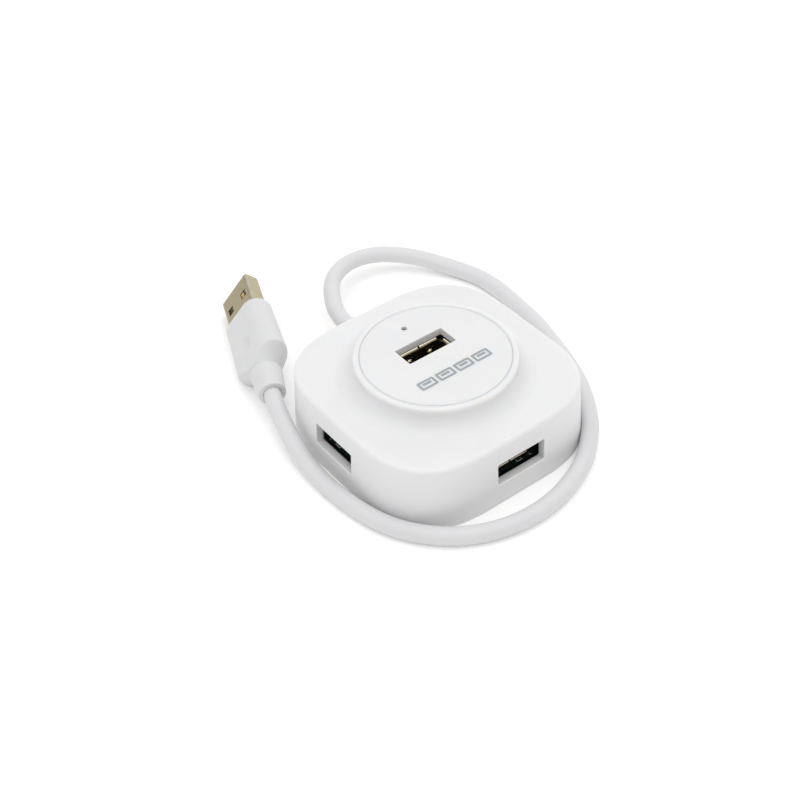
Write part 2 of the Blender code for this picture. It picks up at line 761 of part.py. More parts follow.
def plug_insides():
    """The insulator lies along the lower wide side, and the contacts lie on it."""
    low = -PLUG_THICKNESS / 2 + PLUG_SHEET + CONTACT_GAP
    length = PLUG_REACH + PLUG_TAIL - 2 * INSULATOR_SETBACK
    middle_y = (PLUG_REACH - PLUG_TAIL) / 2
    box("plug_insulator", (PLUG_WIDTH - 2 * PLUG_SHEET - 2 * CONTACT_GAP, length, INSULATOR_THICKNESS),
        (0.0, middle_y, low + INSULATOR_THICKNESS / 2), WHITE_NYLON)
    contact_z = low + INSULATOR_THICKNESS + CONTACT_GAP + CONTACT_SHEET / 2
    for number, x in enumerate(CONTACT_X, 1):
        box(f"plug_contact_{number}", (CONTACT_WIDTH, length - 2 * CONTACT_SETBACK, CONTACT_SHEET),
            (x, middle_y, contact_z), GOLD)


def plug_grip():
    """The moulded grip, a rounded slab, with the round collar that the cord enters."""
    grip = box("plug_grip", GRIP_SIZE, (0.0, GRIP_FRONT - GRIP_SIZE[1] / 2, 0.0), WHITE_CORD)
    bevel(grip, GRIP_ROUND, 3)
    collar = round_bar("collar", COLLAR_RADIUS[0], COLLAR_ROOT, COLLAR_END, top_radius=COLLAR_RADIUS[1],
                       steps=20)
    collar.rotation_euler.x = math.radians(90)
    pocket = box("plug_pocket", (PLUG_WIDTH + 2 * GAP, 2 * (PLUG_TAIL + GAP), PLUG_THICKNESS + 2 * GAP),
                 (0.0, 0.0, 0.0))
    boolean(grip, collar, "UNION")
    boolean(grip, pocket)


def plug():
    before = everything()
    plug_shell()
    plug_insides()
    plug_grip()
    hold_new(before, "plug").matrix_world = plug_place()


clear_scene()
HUB = new_collection("usb_hub")
CUTTERS = new_collection("cutters")
upper_shell()
face_disc()
base_plate()
case_screws()
main_board()
receptacles()
hub_chip()
crystal()
capacitors()
status_light()
cable_gland()
inner_wires()
plug()
cord()
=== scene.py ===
"""The look of the four-port USB hub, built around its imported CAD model.

Shapes are drawn in millimetres and scaled to metres as they become meshes. The lead's route and the
plug's place repeat the numbers in part.py, in metres. The walls lean out towards the foot; the CAD's
are upright.
"""

import math

import bmesh
import bpy
import numpy as np
from mathutils import Euler, Matrix, Vector


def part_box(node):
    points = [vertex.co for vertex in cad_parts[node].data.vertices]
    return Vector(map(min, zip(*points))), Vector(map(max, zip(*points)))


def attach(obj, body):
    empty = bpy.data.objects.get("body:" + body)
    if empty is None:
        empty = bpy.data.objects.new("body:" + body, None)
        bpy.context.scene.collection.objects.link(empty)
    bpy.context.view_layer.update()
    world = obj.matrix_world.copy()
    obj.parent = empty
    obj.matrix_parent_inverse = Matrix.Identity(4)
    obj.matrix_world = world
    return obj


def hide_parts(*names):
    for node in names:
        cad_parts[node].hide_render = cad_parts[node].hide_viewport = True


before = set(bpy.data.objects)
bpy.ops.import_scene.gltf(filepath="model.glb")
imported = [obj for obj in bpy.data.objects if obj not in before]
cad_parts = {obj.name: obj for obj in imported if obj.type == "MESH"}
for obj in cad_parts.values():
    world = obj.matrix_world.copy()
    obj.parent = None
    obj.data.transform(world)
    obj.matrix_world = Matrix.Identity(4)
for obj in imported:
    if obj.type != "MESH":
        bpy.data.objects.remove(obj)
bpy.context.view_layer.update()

MM = 0.001
GAP = 0.3

# Camera
CAMERA_TARGET = Vector((-0.006782, 0.006093, 0.008276))
CAMERA_AZIMUTH = math.radians(-35.840)
CAMERA_ELEVATION = math.radians(42.099)
CAMERA_DISTANCE = 0.35460
CAMERA_ROLL = math.radians(-2.3577)
CAMERA_LENS = 64.17
CAMERA_SENSOR = 36.0

# Lead, as in part.py
CORD_DIAMETER = 0.0045
CORD_EXIT_HEIGHT = 0.0090
BOOT_END = 0.0370
ON_SURFACE = CORD_DIAMETER / 2 + 0.00002
CORD_ROUTE = (
    (0.0000, BOOT_END - 0.0030, CORD_EXIT_HEIGHT),
    (0.0000, BOOT_END + 0.0006, CORD_EXIT_HEIGHT),
    (0.0002, 0.0405, 0.0090),
    (0.0016, 0.0455, 0.0088),
    (0.0043, 0.0508, 0.0084),
    (0.0077, 0.0557, 0.0080),
    (0.0119, 0.0595, 0.0075),
    (0.0173, 0.0619, 0.0069),
    (0.0228, 0.0623, 0.0063),
    (0.0284, 0.0607, 0.0056),
    (0.0333, 0.0572, 0.0049),
    (0.0369, 0.0536, 0.0042),
    (0.0398, 0.0498, 0.0034),
    (0.0424, 0.0460, 0.0027),
    (0.0446, 0.0414, ON_SURFACE),
    (0.0458, 0.0368, ON_SURFACE),
    (0.0462, 0.0300, ON_SURFACE),
    (0.0456, 0.0231, ON_SURFACE),
    (0.0446, 0.0140, ON_SURFACE),
    (0.0424, 0.0045, ON_SURFACE),
    (0.0393, -0.0060, ON_SURFACE),
    (0.0357, -0.0145, ON_SURFACE),
    (0.0309, -0.0222, ON_SURFACE),
    (0.0259, -0.0280, ON_SURFACE),
    (0.0183, -0.0341, ON_SURFACE),
    (0.0094, -0.0380, ON_SURFACE),
    (0.0012, -0.0397, ON_SURFACE),
    (-0.0070, -0.0395, ON_SURFACE),
    (-0.0150, -0.0373, ON_SURFACE),
    (-0.0222, -0.0331, ON_SURFACE),
    (-0.0285, -0.0263, ON_SURFACE),
    (-0.0323, -0.0187, ON_SURFACE),
    (-0.0343, -0.0095, ON_SURFACE),
    (-0.0350, -0.0002, 0.0024),
    (-0.0348, 0.0072, 0.0032),
    (-0.0341, 0.0134, 0.0045),
    (-0.0330, 0.0188, 0.0059),
    (-0.0318, 0.0234, 0.0068),
    (-0.0308, 0.0263, 0.0071),
)
CORD_STEP = 0.0006
CORD_INTO_COLLAR = 3.0
CORD_BEFORE_COLLAR = 0.6

# Plug; its place is as in part.py
PLUG_PLACE = Matrix.LocRotScale(Vector((-0.0176, 0.0591, 0.0072)),
                                Euler((0.0, math.radians(-51.8), math.radians(-21.9))), None)
PLUG_WIDTH = 12.0
PLUG_THICKNESS = 4.5
PLUG_REACH = 11.75
PLUG_TAIL = 5.0
PLUG_SHEET = 0.3
PLUG_CORNER = 0.6
PLUG_WINDOW = (2.2, 2.4)
PLUG_WINDOW_X = 3.1
PLUG_WINDOW_Y = PLUG_REACH - 6.3
PLUG_STEP = 0.4
PLUG_NOSE_LENGTH = 0.5
PLUG_NOSE_TURN = 0.16
PLUG_CONTACT_X = (-3.5, -1.0, 1.0, 3.5)
PLUG_CHANNEL_HALF = 0.62

# Grip: its front as (place along it, half width, half thickness, corner), then the cone and the collar
GRIP_RING = 160
GRIP_FRONT = ((-1.00, 6.9, 3.45, 3.3), (-0.86, 7.1, 3.7, 3.5), (-0.88, 7.25, 3.9, 3.65),
              (-1.02, 7.42, 4.07, 3.8), (-1.30, 7.52, 4.17, 3.88), (-1.7, 7.55, 4.2, 3.9))
GRIP_BODY_END = -18.6
GRIP_WIDENING = 0.50
GRIP_RIM_WIDTH = 8.05
GRIP_END = -19.6
CONE_RADIUS = 8.15
CONE_CURVE = 1.35
NECK_RADIUS = 3.50
NECK_Y = -24.10
THUMB_CENTRE = (-0.2, -14.2)
THUMB_HALF = (2.9, 3.1)
THUMB_DEPTH = 0.85
COLLAR_RADIUS = 4.26
COLLAR_TAPER = 0.64
COLLAR_SHOULDER = 0.22
COLLAR_TAPER_END = -31.6
COLLAR_TIP_RADIUS = 3.62
COLLAR_END = 32.2
COLLAR_BORE = 2.20
COLLAR_BORE_DEPTH = 4.0
POCKET_CLEARANCE = 0.12

# Case; DRAFT is how far the foot of each wall stands out
CASE_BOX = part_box("upper_shell")
HALF_SIDE = CASE_BOX[1].x / MM
FACE_HEIGHT = CASE_BOX[1].z / MM
SHELL_FOOT = 0.80
CORNER_RADIUS = 22.3
CORNER_EXPONENT = 2.6
BODY_HEIGHT = 18.3
TOP_EDGE_ROUND = 1.0
WALL = 2.0
DRAFT = 0.85
WALL_TOP = BODY_HEIGHT - TOP_EDGE_ROUND
WALL_ROWS = 10
BASE_RIM = 0.7
BASE_FLOOR = 2.0
BASE_INSET = 0.03
BASE_EDGE = 0.12
SEAM_EDGE = 0.08
FACE_RADIUS = 20.2
FACE_EDGE_ROUND = 0.8
FACE_FLARE = 4.7
FLARE_EXPONENT = 1.65
DISC_RADIUS = 18.55
DISC_THICKNESS = 1.0
GROOVE_HALF = 0.22
GROOVE_DEPTH = 0.08
FACE_POCKET_RADIUS = 17.0
SKIN_UNDERSIDE = 21.6
WINDOW_COLLAR = 0.8
SIDE_WINDOW = (14.3, 6.2)
SIDE_WINDOW_HEIGHT = 9.4
SIDE_WINDOW_CORNER = 0.35
SIDE_WINDOW_LIP = 0.12
SIDE_WINDOW_FLARE = 0.5
SIDE_PORT_OFFSET = 1.4
TOP_WINDOW = (14.2, 6.1)
TOP_WINDOW_CORNER = 0.38
TOP_WINDOW_LIP = 0.15
TOP_PORT_Y = 4.0
LED_Y = 12.5
LED_HOLE_RADIUS = 0.76
LED_HOLE_LIP = 0.06
BOSS_OFFSET = 18.5
BOSS_RADIUS = 2.8
BOSS_FOOT = 4.5
PAD_TOP = 4.2
HEAD_RECESS_RADIUS = 2.2
HEAD_RECESS_DEPTH = 2.2
SCREW_HOLE_RADIUS = 1.15
SCREW_PROFILE = ((1.35, 0.40), (1.62, 0.44), (1.80, 0.58), (1.88, 0.80), (1.90, 1.05), (1.90, 1.90),
                 (0.85, 1.90), (0.85, 9.9), (0.35, 10.5))
DRIVE_ARM = ((0.2, 1.12, 0.27), (1.45, 0.45, 0.14))

# Boot: (Y, radius) pairs, and the slot and tab round its neck
GLAND_HEIGHT = 9.0
GLAND_NECK_RADIUS = 3.2
SLOT_HALF = GLAND_NECK_RADIUS + GAP / 2
TAB_HALF = 3.2
TAB_TOP = 7.0
TAB_BEHIND_WALL = 1.5
BOOT_INSIDE = ((22.9, 2.4), (24.9, 2.8), (25.2, 4.4), (27.6, 4.5), (27.7, 3.2), (30.25, 3.2))
BOOT_SHOULDER = ((30.3, 3.9), (30.5, 4.08), (30.9, 4.1))
BOOT_TAIL = ((30.9, 4.1), (36.7, 2.95))
BOOT_TIP = ((36.9, 2.88), (37.0, 2.7))
BOOT_TAIL_ROWS = 60
RIBS = 4
RIB_DEPTH = 0.32

# Receptacle
JACK_WIDTH = 13.14
JACK_HEIGHT = 5.72
JACK_SHEET = 0.31
JACK_SETBACK = 4.0
JACK_CORNER = 0.7
JACK_LENGTH = 14.0
TOP_JACK_LENGTH = 14.4
SEAT = 6.5
LIP_LENGTH = 0.6
LIP_END = 0.65
LIP_HALF = 5.5
LIP_NOTCH = 0.25
LIP_TALL_HALF = 1.5
LIP_FLARE = {"low": 0.22, "high": 0.50, "left": 0.45, "right": 0.45}
LIP_DEPTHS = (0.0, 0.03, 0.08, 0.15, 0.24, 0.35, 0.48, LIP_END, 0.8, 0.95)
SPRING_X = 3.2
SPRING_HALF = 1.2
SPRING_TIP = 1.5
SPRING_ROOT = 8.0
SPRING_BEND = 0.18
SLIT = 0.22
DIMPLE_Y = 3.0
DIMPLE_END = 4.2
DIMPLE_RADIUS = 0.85
DIMPLE_DEPTH = 0.60

# Printed marks
MARK_Y = -7.3
MARK_PITCH = 5.5
MARK_RISE = 0.18
MARK_LOW = FACE_HEIGHT - 0.02
MARK_HIGH = FACE_HEIGHT + 0.012
LEGEND_LOW = 6.15
LEGEND_HIGH = 6.23
LEGEND_NEAR = 2.75
LEGEND_FAR = 3.5
LEGEND_LINE = 0.15
LEGEND_FRAMES = {"front": (1.5, 3.1), "left": (-3.8, -1.9), "right": (-3.8, -1.9)}
LEGEND_CORNERS = {"front": (-4.6, 5.4), "left": (-6.3, 3.6), "right": (-6.3, 3.6)}

# Stage
FLOOR_REACH = 4.0
FLOOR_COLOUR = (0.96, 0.955, 0.95, 1.0)
FLOOR_GLOW_COLOUR = (1.0, 0.99, 0.98, 1.0)
FLOOR_GLOW = 0.10
WORLD_LIGHT = 0.64
LIGHTS = (("right_fill", (0.80, 0.45, 0.22), (0.0, 0.03, 0.01), 0.7, 1.1),
          ("overhead", (-0.06, -0.03, 0.95), (0.0, 0.01, 0.0), 1.3, 6.8))

# Finishes; depths in millimetres
GRAIN_DEPTH = 0.010
ROLLED_DEPTH = 0.004
SUBSURFACE_SCALE = 0.0008
SUBSURFACE_RADIUS = (1.0, 0.9, 0.8)
NOISE_LOW = 0.3
NOISE_HIGH = 0.7

# Meshes; the two merge distances are in metres
RING = 256
SLIVER = 2e-6
DOUBLES = 1e-7
LIP_REACH = 75.0
LOOK_OUT = Matrix.Rotation(math.radians(90), 4, "X")


# Mesh helpers

def add_object(name, data):
    made = bpy.data.objects.new(name, data)
    bpy.context.scene.collection.objects.link(made)
    return made


def edit_mesh(mesh, *steps):
    """Runs editing steps, each of which takes a bmesh, on a mesh."""
    bm = bmesh.new()
    bm.from_mesh(mesh)
    for step in steps:
        step(bm)
    bm.to_mesh(mesh)
    bm.free()


def mesh_object(name, verts, faces, place=None):
    """A mesh object from points in millimetres, with doubles merged and its faces turned outward."""
    mesh = bpy.data.meshes.new(name)
    mesh.from_pydata([Vector(v) * MM for v in verts], [], faces)
    edit_mesh(mesh, lambda bm: bmesh.ops.remove_doubles(bm, verts=bm.verts, dist=DOUBLES),
              lambda bm: bmesh.ops.recalc_face_normals(bm, faces=bm.faces))
    if place is not None:
        mesh.transform(place)
    return add_object(name, mesh)


def loft(rings):
    """Points and faces of a skin through rings of equal count, with flat ends."""
    count = len(rings[0])
    verts = [point for ring in rings for point in ring]
    faces = []
    for row in range(len(rings) - 1):
        for index in range(count):
            after = (index + 1) % count
            faces.append((row * count + index, row * count + after,
                          (row + 1) * count + after, (row + 1) * count + index))
    faces.append(tuple(reversed(range(count))))
    faces.append(tuple(range(len(verts) - count, len(verts))))
    return verts, faces


def bake_modifiers(target):
    bpy.context.view_layer.update()
    graph = bpy.context.evaluated_depsgraph_get()
    mesh = bpy.data.meshes.new_from_object(target.evaluated_get(graph))
    target.modifiers.clear()
    target.data = mesh


def carve(target, cutter, operation="DIFFERENCE"):
    """Cuts the cutter out of the target, or joins it on, and throws the cutter away."""
    step = target.modifiers.new("carve", "BOOLEAN")
    step.operation = operation
    step.object = cutter
    step.solver = "EXACT"
    bake_modifiers(target)
    bpy.data.objects.remove(cutter, do_unlink=True)
    drop_slivers(target)


def drop_slivers(target):
    """Closes up the zero-width faces that a cut can leave along its edges."""
    edit_mesh(target.data, lambda bm: bmesh.ops.remove_doubles(bm, verts=bm.verts, dist=SLIVER),
              lambda bm: bmesh.ops.dissolve_degenerate(bm, edges=bm.edges, dist=SLIVER))


def shade(target, angle):
    """Smooth shading, except across edges sharper than the angle in degrees."""
    target.data.shade_smooth()
    target.data.set_sharp_from_angle(angle=math.radians(angle))
    weighted = target.modifiers.new("normals", "WEIGHTED_NORMAL")
    weighted.keep_sharp = True
    weighted.weight = 60


def soften(target, width):
    """Small bevels on the edges; returns the modifier."""
    edges = target.modifiers.new("edges", "BEVEL")
    edges.width = width * MM
    edges.segments = 2
    edges.limit_method = "ANGLE"
    return edges


def place_piece(piece, material, slot, *nodes):
    """Gives a piece its material, and puts it on the body in place of CAD nodes; the slot argument is not
    used.
    """
    piece.data.materials.clear()
    piece.data.materials.append(material)
    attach(piece, "root")
    if nodes:
        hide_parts(*nodes)
    return piece


def lip(radius, steps=5):
    """(depth, growth) pairs for a cutter that leaves a rounded lip at depth zero, outermost first."""
    points = []
    for step in range(steps + 1):
        angle = math.radians(LIP_REACH * step / steps)
        points.append((radius * (1 - math.sin(angle)), radius * (1 - math.cos(angle))))
    depth, growth = points[-1]
    beyond = 0.1
    points.append((-beyond, growth + math.tan(math.radians(LIP_REACH)) * (depth + beyond)))
    return list(reversed(points))


# Outlines

def superellipse_radii(inset):
    """The case outline's distance from the middle at each of the ring's angles."""
    half, radius = HALF_SIDE - inset, CORNER_RADIUS - inset
    angle = np.linspace(0.0, math.pi / 2, 400)
    x = half - radius + radius * np.abs(np.cos(angle)) ** (2 / CORNER_EXPONENT)
    y = half - radius + radius * np.abs(np.sin(angle)) ** (2 / CORNER_EXPONENT)
    x = np.concatenate(([half], x, [0.0]))
    y = np.concatenate(([0.0], y, [half]))
    bearing, reach = np.arctan2(y, x), np.hypot(x, y)
    wanted = np.arange(RING) * 2 * math.pi / RING % (math.pi / 2)
    return np.interp(wanted, bearing, reach)


def polar_ring(radii, z):
    angles = np.arange(RING) * 2 * math.pi / RING
    radii = np.broadcast_to(radii, angles.shape)
    return [(r * math.cos(a), r * math.sin(a), z) for r, a in zip(radii, angles)]


def case_ring(inset, z):
    """The case outline; straight runs between the corners are kept straight."""
    ring = []
    half = HALF_SIDE - inset
    for x, y, _ in polar_ring(superellipse_radii(inset), z):
        ring.append((min(max(x, -half), half), min(max(y, -half), half), z))
    return ring


def rounded_section(half_width, half_height, radius, arc_steps=8):
    """A rounded rectangle about the middle, anticlockwise from the upper end of its right-hand side."""
    inner_w, inner_h = half_width - radius, half_height - radius
    points = []
    for sign_x, sign_y, start in ((1, 1, 0), (-1, 1, 90), (-1, -1, 180), (1, -1, 270)):
        for step in range(arc_steps + 1):
            angle = math.radians(start + 90 * step / arc_steps)
            points.append((sign_x * inner_w + radius * math.cos(angle),
                           sign_y * inner_h + radius * math.sin(angle)))
    return points


def circle(radius, steps=24):
    angles = [2 * math.pi * step / steps for step in range(steps)]
    return [(radius * math.cos(angle), radius * math.sin(angle)) for angle in angles]


def prism(name, outline, low, high, place=None):
    """A straight block on an outline in X and Y."""
    rings = [[(x, y, z) for x, y in outline] for z in (low, high)]
    return mesh_object(name, *loft(rings), place)


def window_cutter(name, size, corner, profile, place):
    """A rounded-rectangle cutter; profile gives its depth below the surface and its growth."""
    rings = [[(x, y, -depth) for x, y in
              rounded_section(size[0] / 2 + growth, size[1] / 2 + growth, corner + growth)]
             for depth, growth in profile]
    return mesh_object(name, *loft(rings), place)


def round_cutter(name, radius, profile, place, steps=40):
    rings = [[(x, y, -depth) for x, y in circle(radius + growth, steps)] for depth, growth in profile]
    return mesh_object(name, *loft(rings), place)


def at(x, y, z):
    return Matrix.Translation(Vector((x, y, z)) * MM)


def smooth_path(route, step):
    """Evenly spaced points on a Catmull-Rom curve through the route's points."""
    places = [Vector(place) for place in route]
    places = [2 * places[0] - places[1]] + places + [2 * places[-1] - places[-2]]
    fine = []
    for before, start, end, after in zip(places, places[1:], places[2:], places[3:]):
        for part in range(20):
            t = part / 20
            fine.append(0.5 * (2 * start + (end - before) * t
                               + (2 * before - 5 * start + 4 * end - after) * t * t
                               + (3 * start - before - 3 * end + after) * t * t * t))
    fine.append(places[-2])
    lengths = [0.0]
    for first, second in zip(fine, fine[1:]):
        lengths.append(lengths[-1] + (second - first).length)
    count = round(lengths[-1] / step)
    points, at_index = [], 0
    for index in range(count + 1):
        wanted = lengths[-1] * index / count
        while at_index < len(fine) - 2 and lengths[at_index + 1] < wanted:
            at_index += 1
        share = (wanted - lengths[at_index]) / (lengths[at_index + 1] - lengths[at_index])
        points.append(fine[at_index].lerp(fine[at_index + 1], share))
    return points, lengths[-1]


# Materials

def fill(node, **inputs):
    """Sets a node's inputs; an underscore stands for a space in an input's name."""
    for name, value in inputs.items():
        node.inputs[name.replace("_", " ")].default_value = value


class Nodes:
    """A material's node tree, with short calls for the nodes that the finishes share."""

    def __init__(self, name):
        self.material = bpy.data.materials.new(name)
        self.material.use_nodes = True
        self.tree = self.material.node_tree
        self.shader = self.tree.nodes["Principled BSDF"]
        self.place = self.new("TexCoord").outputs["Object"]

    def new(self, kind, **inputs):
        made = self.tree.nodes.new("ShaderNode" + kind)
        fill(made, **inputs)
        return made

    def link(self, source, target):
        self.tree.links.new(source, target)

    def stretched(self, scale):
        mapping = self.new("Mapping", Scale=scale)
        self.link(self.place, mapping.inputs["Vector"])
        return mapping.outputs["Vector"]

    def noise(self, per_mm, detail=3.0, rough=0.5, place=None):
        made = self.new("TexNoise", Scale=per_mm / MM, Detail=detail, Roughness=rough)
        self.link(place or self.place, made.inputs["Vector"])
        return made.outputs["Fac"]

    def colour(self, value, stops):
        """Colours the surface by a value, through (position, colour) stops."""
        made = self.new("ValToRGB")
        marks = made.color_ramp.elements
        for mark, (position, colour) in zip(marks, stops):
            mark.position = position
            mark.color = (*colour, 1.0)
        self.link(value, made.inputs["Fac"])
        self.link(made.outputs["Color"], self.shader.inputs["Base Color"])

    def roughness(self, value, low, high):
        made = self.new("MapRange", From_Min=NOISE_LOW, From_Max=NOISE_HIGH, To_Min=low, To_Max=high)
        self.link(value, made.inputs["Value"])
        self.link(made.outputs["Result"], self.shader.inputs["Roughness"])

    def blend(self, first, second, share):
        made = self.new("Mix", Factor=share)
        made.data_type = "FLOAT"
        self.link(first, made.inputs["A"])
        self.link(second, made.inputs["B"])
        return made.outputs["Result"]

    def bump(self, height, strength, distance_mm):
        made = self.new("Bump", Strength=strength, Distance=distance_mm * MM)
        self.link(height, made.inputs["Height"])
        self.link(made.outputs["Normal"], self.shader.inputs["Normal"])


def moulded(name, light, dark, roughness=(0.38, 0.50), grain=5.0, bump=0.25, sub=0.0):
    """Moulded plastic: a fine spark-eroded grain over slow variation in tone and gloss."""
    nodes = Nodes(name)
    slow = nodes.noise(0.06, 2.0)
    fine = nodes.noise(grain, 4.0, 0.6)
    nodes.colour(nodes.blend(slow, fine, 0.35), ((0.35, dark), (0.65, light)))
    nodes.roughness(nodes.blend(slow, fine, 0.6), *roughness)
    nodes.bump(nodes.blend(fine, nodes.noise(grain / 6, 2.0), 0.4), bump, GRAIN_DEPTH)
    fill(nodes.shader, IOR=1.5)
    if sub:
        fill(nodes.shader, Subsurface_Weight=sub, Subsurface_Scale=SUBSURFACE_SCALE,
             Subsurface_Radius=SUBSURFACE_RADIUS)
    return nodes.material


def sheet_metal(name, light, dark, roughness, along=(0.15, 1.0, 1.0)):
    """Plated sheet metal with a rolled grain along one direction, and a patchy tarnish."""
    nodes = Nodes(name)
    rolled = nodes.noise(9.0, 3.0, 0.6, nodes.stretched(along))
    patchy = nodes.noise(0.5, 4.0, 0.6)
    nodes.colour(nodes.blend(patchy, rolled, 0.45), ((0.32, dark), (0.68, light)))
    nodes.roughness(nodes.blend(patchy, rolled, 0.5), *roughness)
    nodes.bump(rolled, 0.3, ROLLED_DEPTH)
    fill(nodes.shader, Metallic=1.0)
    return nodes.material


def board_material():
    """Solder mask over copper: tracks show as slightly raised, lighter bands."""
    nodes = Nodes("board_mask")
    black = (0.0, 0.0, 0.0, 1.0)
    tracks = nodes.new("TexBrick", Scale=1.0 / MM, Mortar_Size=0.14, Brick_Width=2.6, Row_Height=0.9,
                       Mortar_Smooth=0.2, Bias=0.0, Color1=black, Color2=black,
                       Mortar=(1.0, 1.0, 1.0, 1.0))
    nodes.link(nodes.place, tracks.inputs["Vector"])
    lines = tracks.outputs["Color"]
    weave = nodes.noise(3.0, 3.0)
    nodes.colour(nodes.blend(lines, weave, 0.35),
                 ((0.10, (0.002, 0.004, 0.003)), (0.80, (0.012, 0.022, 0.018))))
    nodes.roughness(weave, 0.30, 0.45)
    nodes.bump(nodes.blend(lines, weave, 0.2), 0.5, 0.03)
    fill(nodes.shader, IOR=1.5)
    return nodes.material


def shaded_clear_material():
    """Slightly hazy light-guide plastic, coloured near black as painted shade that keeps the light hole
    dark.
    """
    nodes = Nodes("light_guide_painted_shade")
    haze = nodes.noise(1.5, 3.0)
    # Near-black colours: painted shade for the hole over the light pipe.
    nodes.colour(haze, ((0.3, (0.020, 0.020, 0.022)), (0.7, (0.035, 0.035, 0.038))))
    nodes.roughness(haze, 0.15, 0.35)
    nodes.bump(haze, 0.2, 0.01)
    fill(nodes.shader, IOR=1.49, Transmission_Weight=0.35)
    return nodes.material


WHITE_CASE = moulded("case_plastic", (0.780, 0.780, 0.783), (0.760, 0.760, 0.764), sub=1.0)
WHITE_JACKET = moulded("cord_jacket", (0.690, 0.688, 0.698), (0.670, 0.668, 0.680), (0.45, 0.58), 3.0,
                       0.3, sub=0.15)
WHITE_GRIP = moulded("plug_moulding", (0.680, 0.682, 0.686), (0.662, 0.664, 0.669), (0.45, 0.58), 3.0,
                     0.3, sub=0.15)
NICKEL = sheet_metal("nickel", (0.74, 0.66, 0.51), (0.58, 0.51, 0.38), (0.10, 0.20))
PLUG_NICKEL = sheet_metal("plug_nickel", (0.425, 0.372, 0.245), (0.355, 0.306, 0.200), (0.24, 0.40))
# A lighter copy of the plug's nickel for the shell's folds: a painted highlight.
FOLD_HIGHLIGHT_NICKEL = sheet_metal("plug_nickel_fold_highlight", (0.66, 0.61, 0.49), (0.56, 0.51, 0.40), (0.36, 0.50))
GOLD = sheet_metal("gold", (0.90, 0.66, 0.30), (0.74, 0.52, 0.22), (0.2, 0.34))
STEEL = sheet_metal("screw_steel", (0.60, 0.60, 0.61), (0.42, 0.42, 0.43), (0.28, 0.42), (1.0, 1.0, 0.2))
ALUMINIUM = sheet_metal("can_metal", (0.80, 0.80, 0.81), (0.66, 0.66, 0.67), (0.3, 0.45), (1.0, 1.0, 0.1))
BLACK_PLASTIC = moulded("black_plastic", (0.030, 0.030, 0.031), (0.016, 0.016, 0.016), (0.40, 0.55))
NYLON = moulded("nylon", (0.80, 0.79, 0.76), (0.72, 0.71, 0.68), (0.42, 0.55))
PRINT = moulded("print", (0.35, 0.38, 0.40), (0.31, 0.34, 0.36), (0.35, 0.45), 8.0, 0.2)
LEGEND = moulded("board_legend", (0.62, 0.70, 0.66), (0.52, 0.60, 0.56), (0.4, 0.5), 8.0, 0.2)
BOARD = board_material()
CLEAR = shaded_clear_material()
WIRES = {
    "wire_red": moulded("wire_red", (0.62, 0.035, 0.022), (0.50, 0.025, 0.015)),
    "wire_white": moulded("wire_white", (0.84, 0.84, 0.84), (0.76, 0.76, 0.76)),
    "wire_green": moulded("wire_green", (0.035, 0.38, 0.085), (0.025, 0.28, 0.060)),
    "wire_black": moulded("wire_black", (0.028, 0.028, 0.028), (0.016, 0.016, 0.016)),
}


# Camera and lead

def make_camera():
    """The photograph's viewpoint: azimuth and elevation round the target, then a roll."""
    level = math.cos(CAMERA_ELEVATION)
    back = Vector((math.sin(CAMERA_AZIMUTH) * level, -math.cos(CAMERA_AZIMUTH) * level,
                   math.sin(CAMERA_ELEVATION)))
    right = (-back).cross(Vector((0.0, 0.0, 1.0))).normalized()
    up = right.cross(-back)
    turned_right = math.cos(CAMERA_ROLL) * right + math.sin(CAMERA_ROLL) * up
    turned_up = -math.sin(CAMERA_ROLL) * right + math.cos(CAMERA_ROLL) * up
    camera = add_object("camera", bpy.data.cameras.new("camera"))
    turn = Matrix((turned_right, turned_up, back)).transposed().to_4x4()
    camera.matrix_world = Matrix.Translation(CAMERA_TARGET + CAMERA_DISTANCE * back) @ turn
    camera.data.lens = CAMERA_LENS
    camera.data.sensor_width = CAMERA_SENSOR
    camera.data.clip_start = 0.01
    camera.data.clip_end = 100.0
    bpy.context.scene.camera = camera


def make_cord():
    """The jacket runs from inside the boot, round the case, and into the plug's collar."""
    into_collar = [tuple(PLUG_PLACE @ (Vector((0.0, -y, 0.0)) * MM))
                   for y in (COLLAR_END + CORD_BEFORE_COLLAR, COLLAR_END - CORD_INTO_COLLAR)]
    points, length = smooth_path((*CORD_ROUTE, *into_collar), CORD_STEP)
    curve = bpy.data.curves.new("cord_jacket", "CURVE")
    curve.dimensions = "3D"
    curve.bevel_depth = CORD_DIAMETER / 2
    curve.bevel_resolution = 12
    curve.use_fill_caps = True
    spline = curve.splines.new("POLY")
    spline.points.add(len(points) - 1)
    for point, place in zip(spline.points, points):
        point.co = (*place, 1.0)
    spline.use_smooth = True
    made = add_object("cord_jacket", curve)
    place_piece(made, WHITE_JACKET, "cord_jacket", "cord")
    return made, length


# Case

def turned_arc(middle, radius, start, end, steps):
    """(radius, height) points on an arc in a turned profile, its angles in degrees."""
    points = []
    for step in range(steps + 1):
        angle = math.radians(start + (end - start) * step / steps)
        points.append((middle[0] + radius * math.cos(angle), middle[1] + radius * math.sin(angle)))
    return points


def flare_profile(steps=14):
    """The concave sweep from the raised face's side down to the flat top."""
    rise = FACE_HEIGHT - 2 * FACE_EDGE_ROUND - BODY_HEIGHT
    points = []
    for step in range(1, steps + 1):
        angle = math.radians(90 * step / steps)
        across = abs(math.cos(angle)) ** (2 / FLARE_EXPONENT)
        down = math.sin(angle) ** (2 / FLARE_EXPONENT)
        points.append((FACE_RADIUS + FACE_FLARE * (1 - across), BODY_HEIGHT + rise * (1 - down)))
    return points


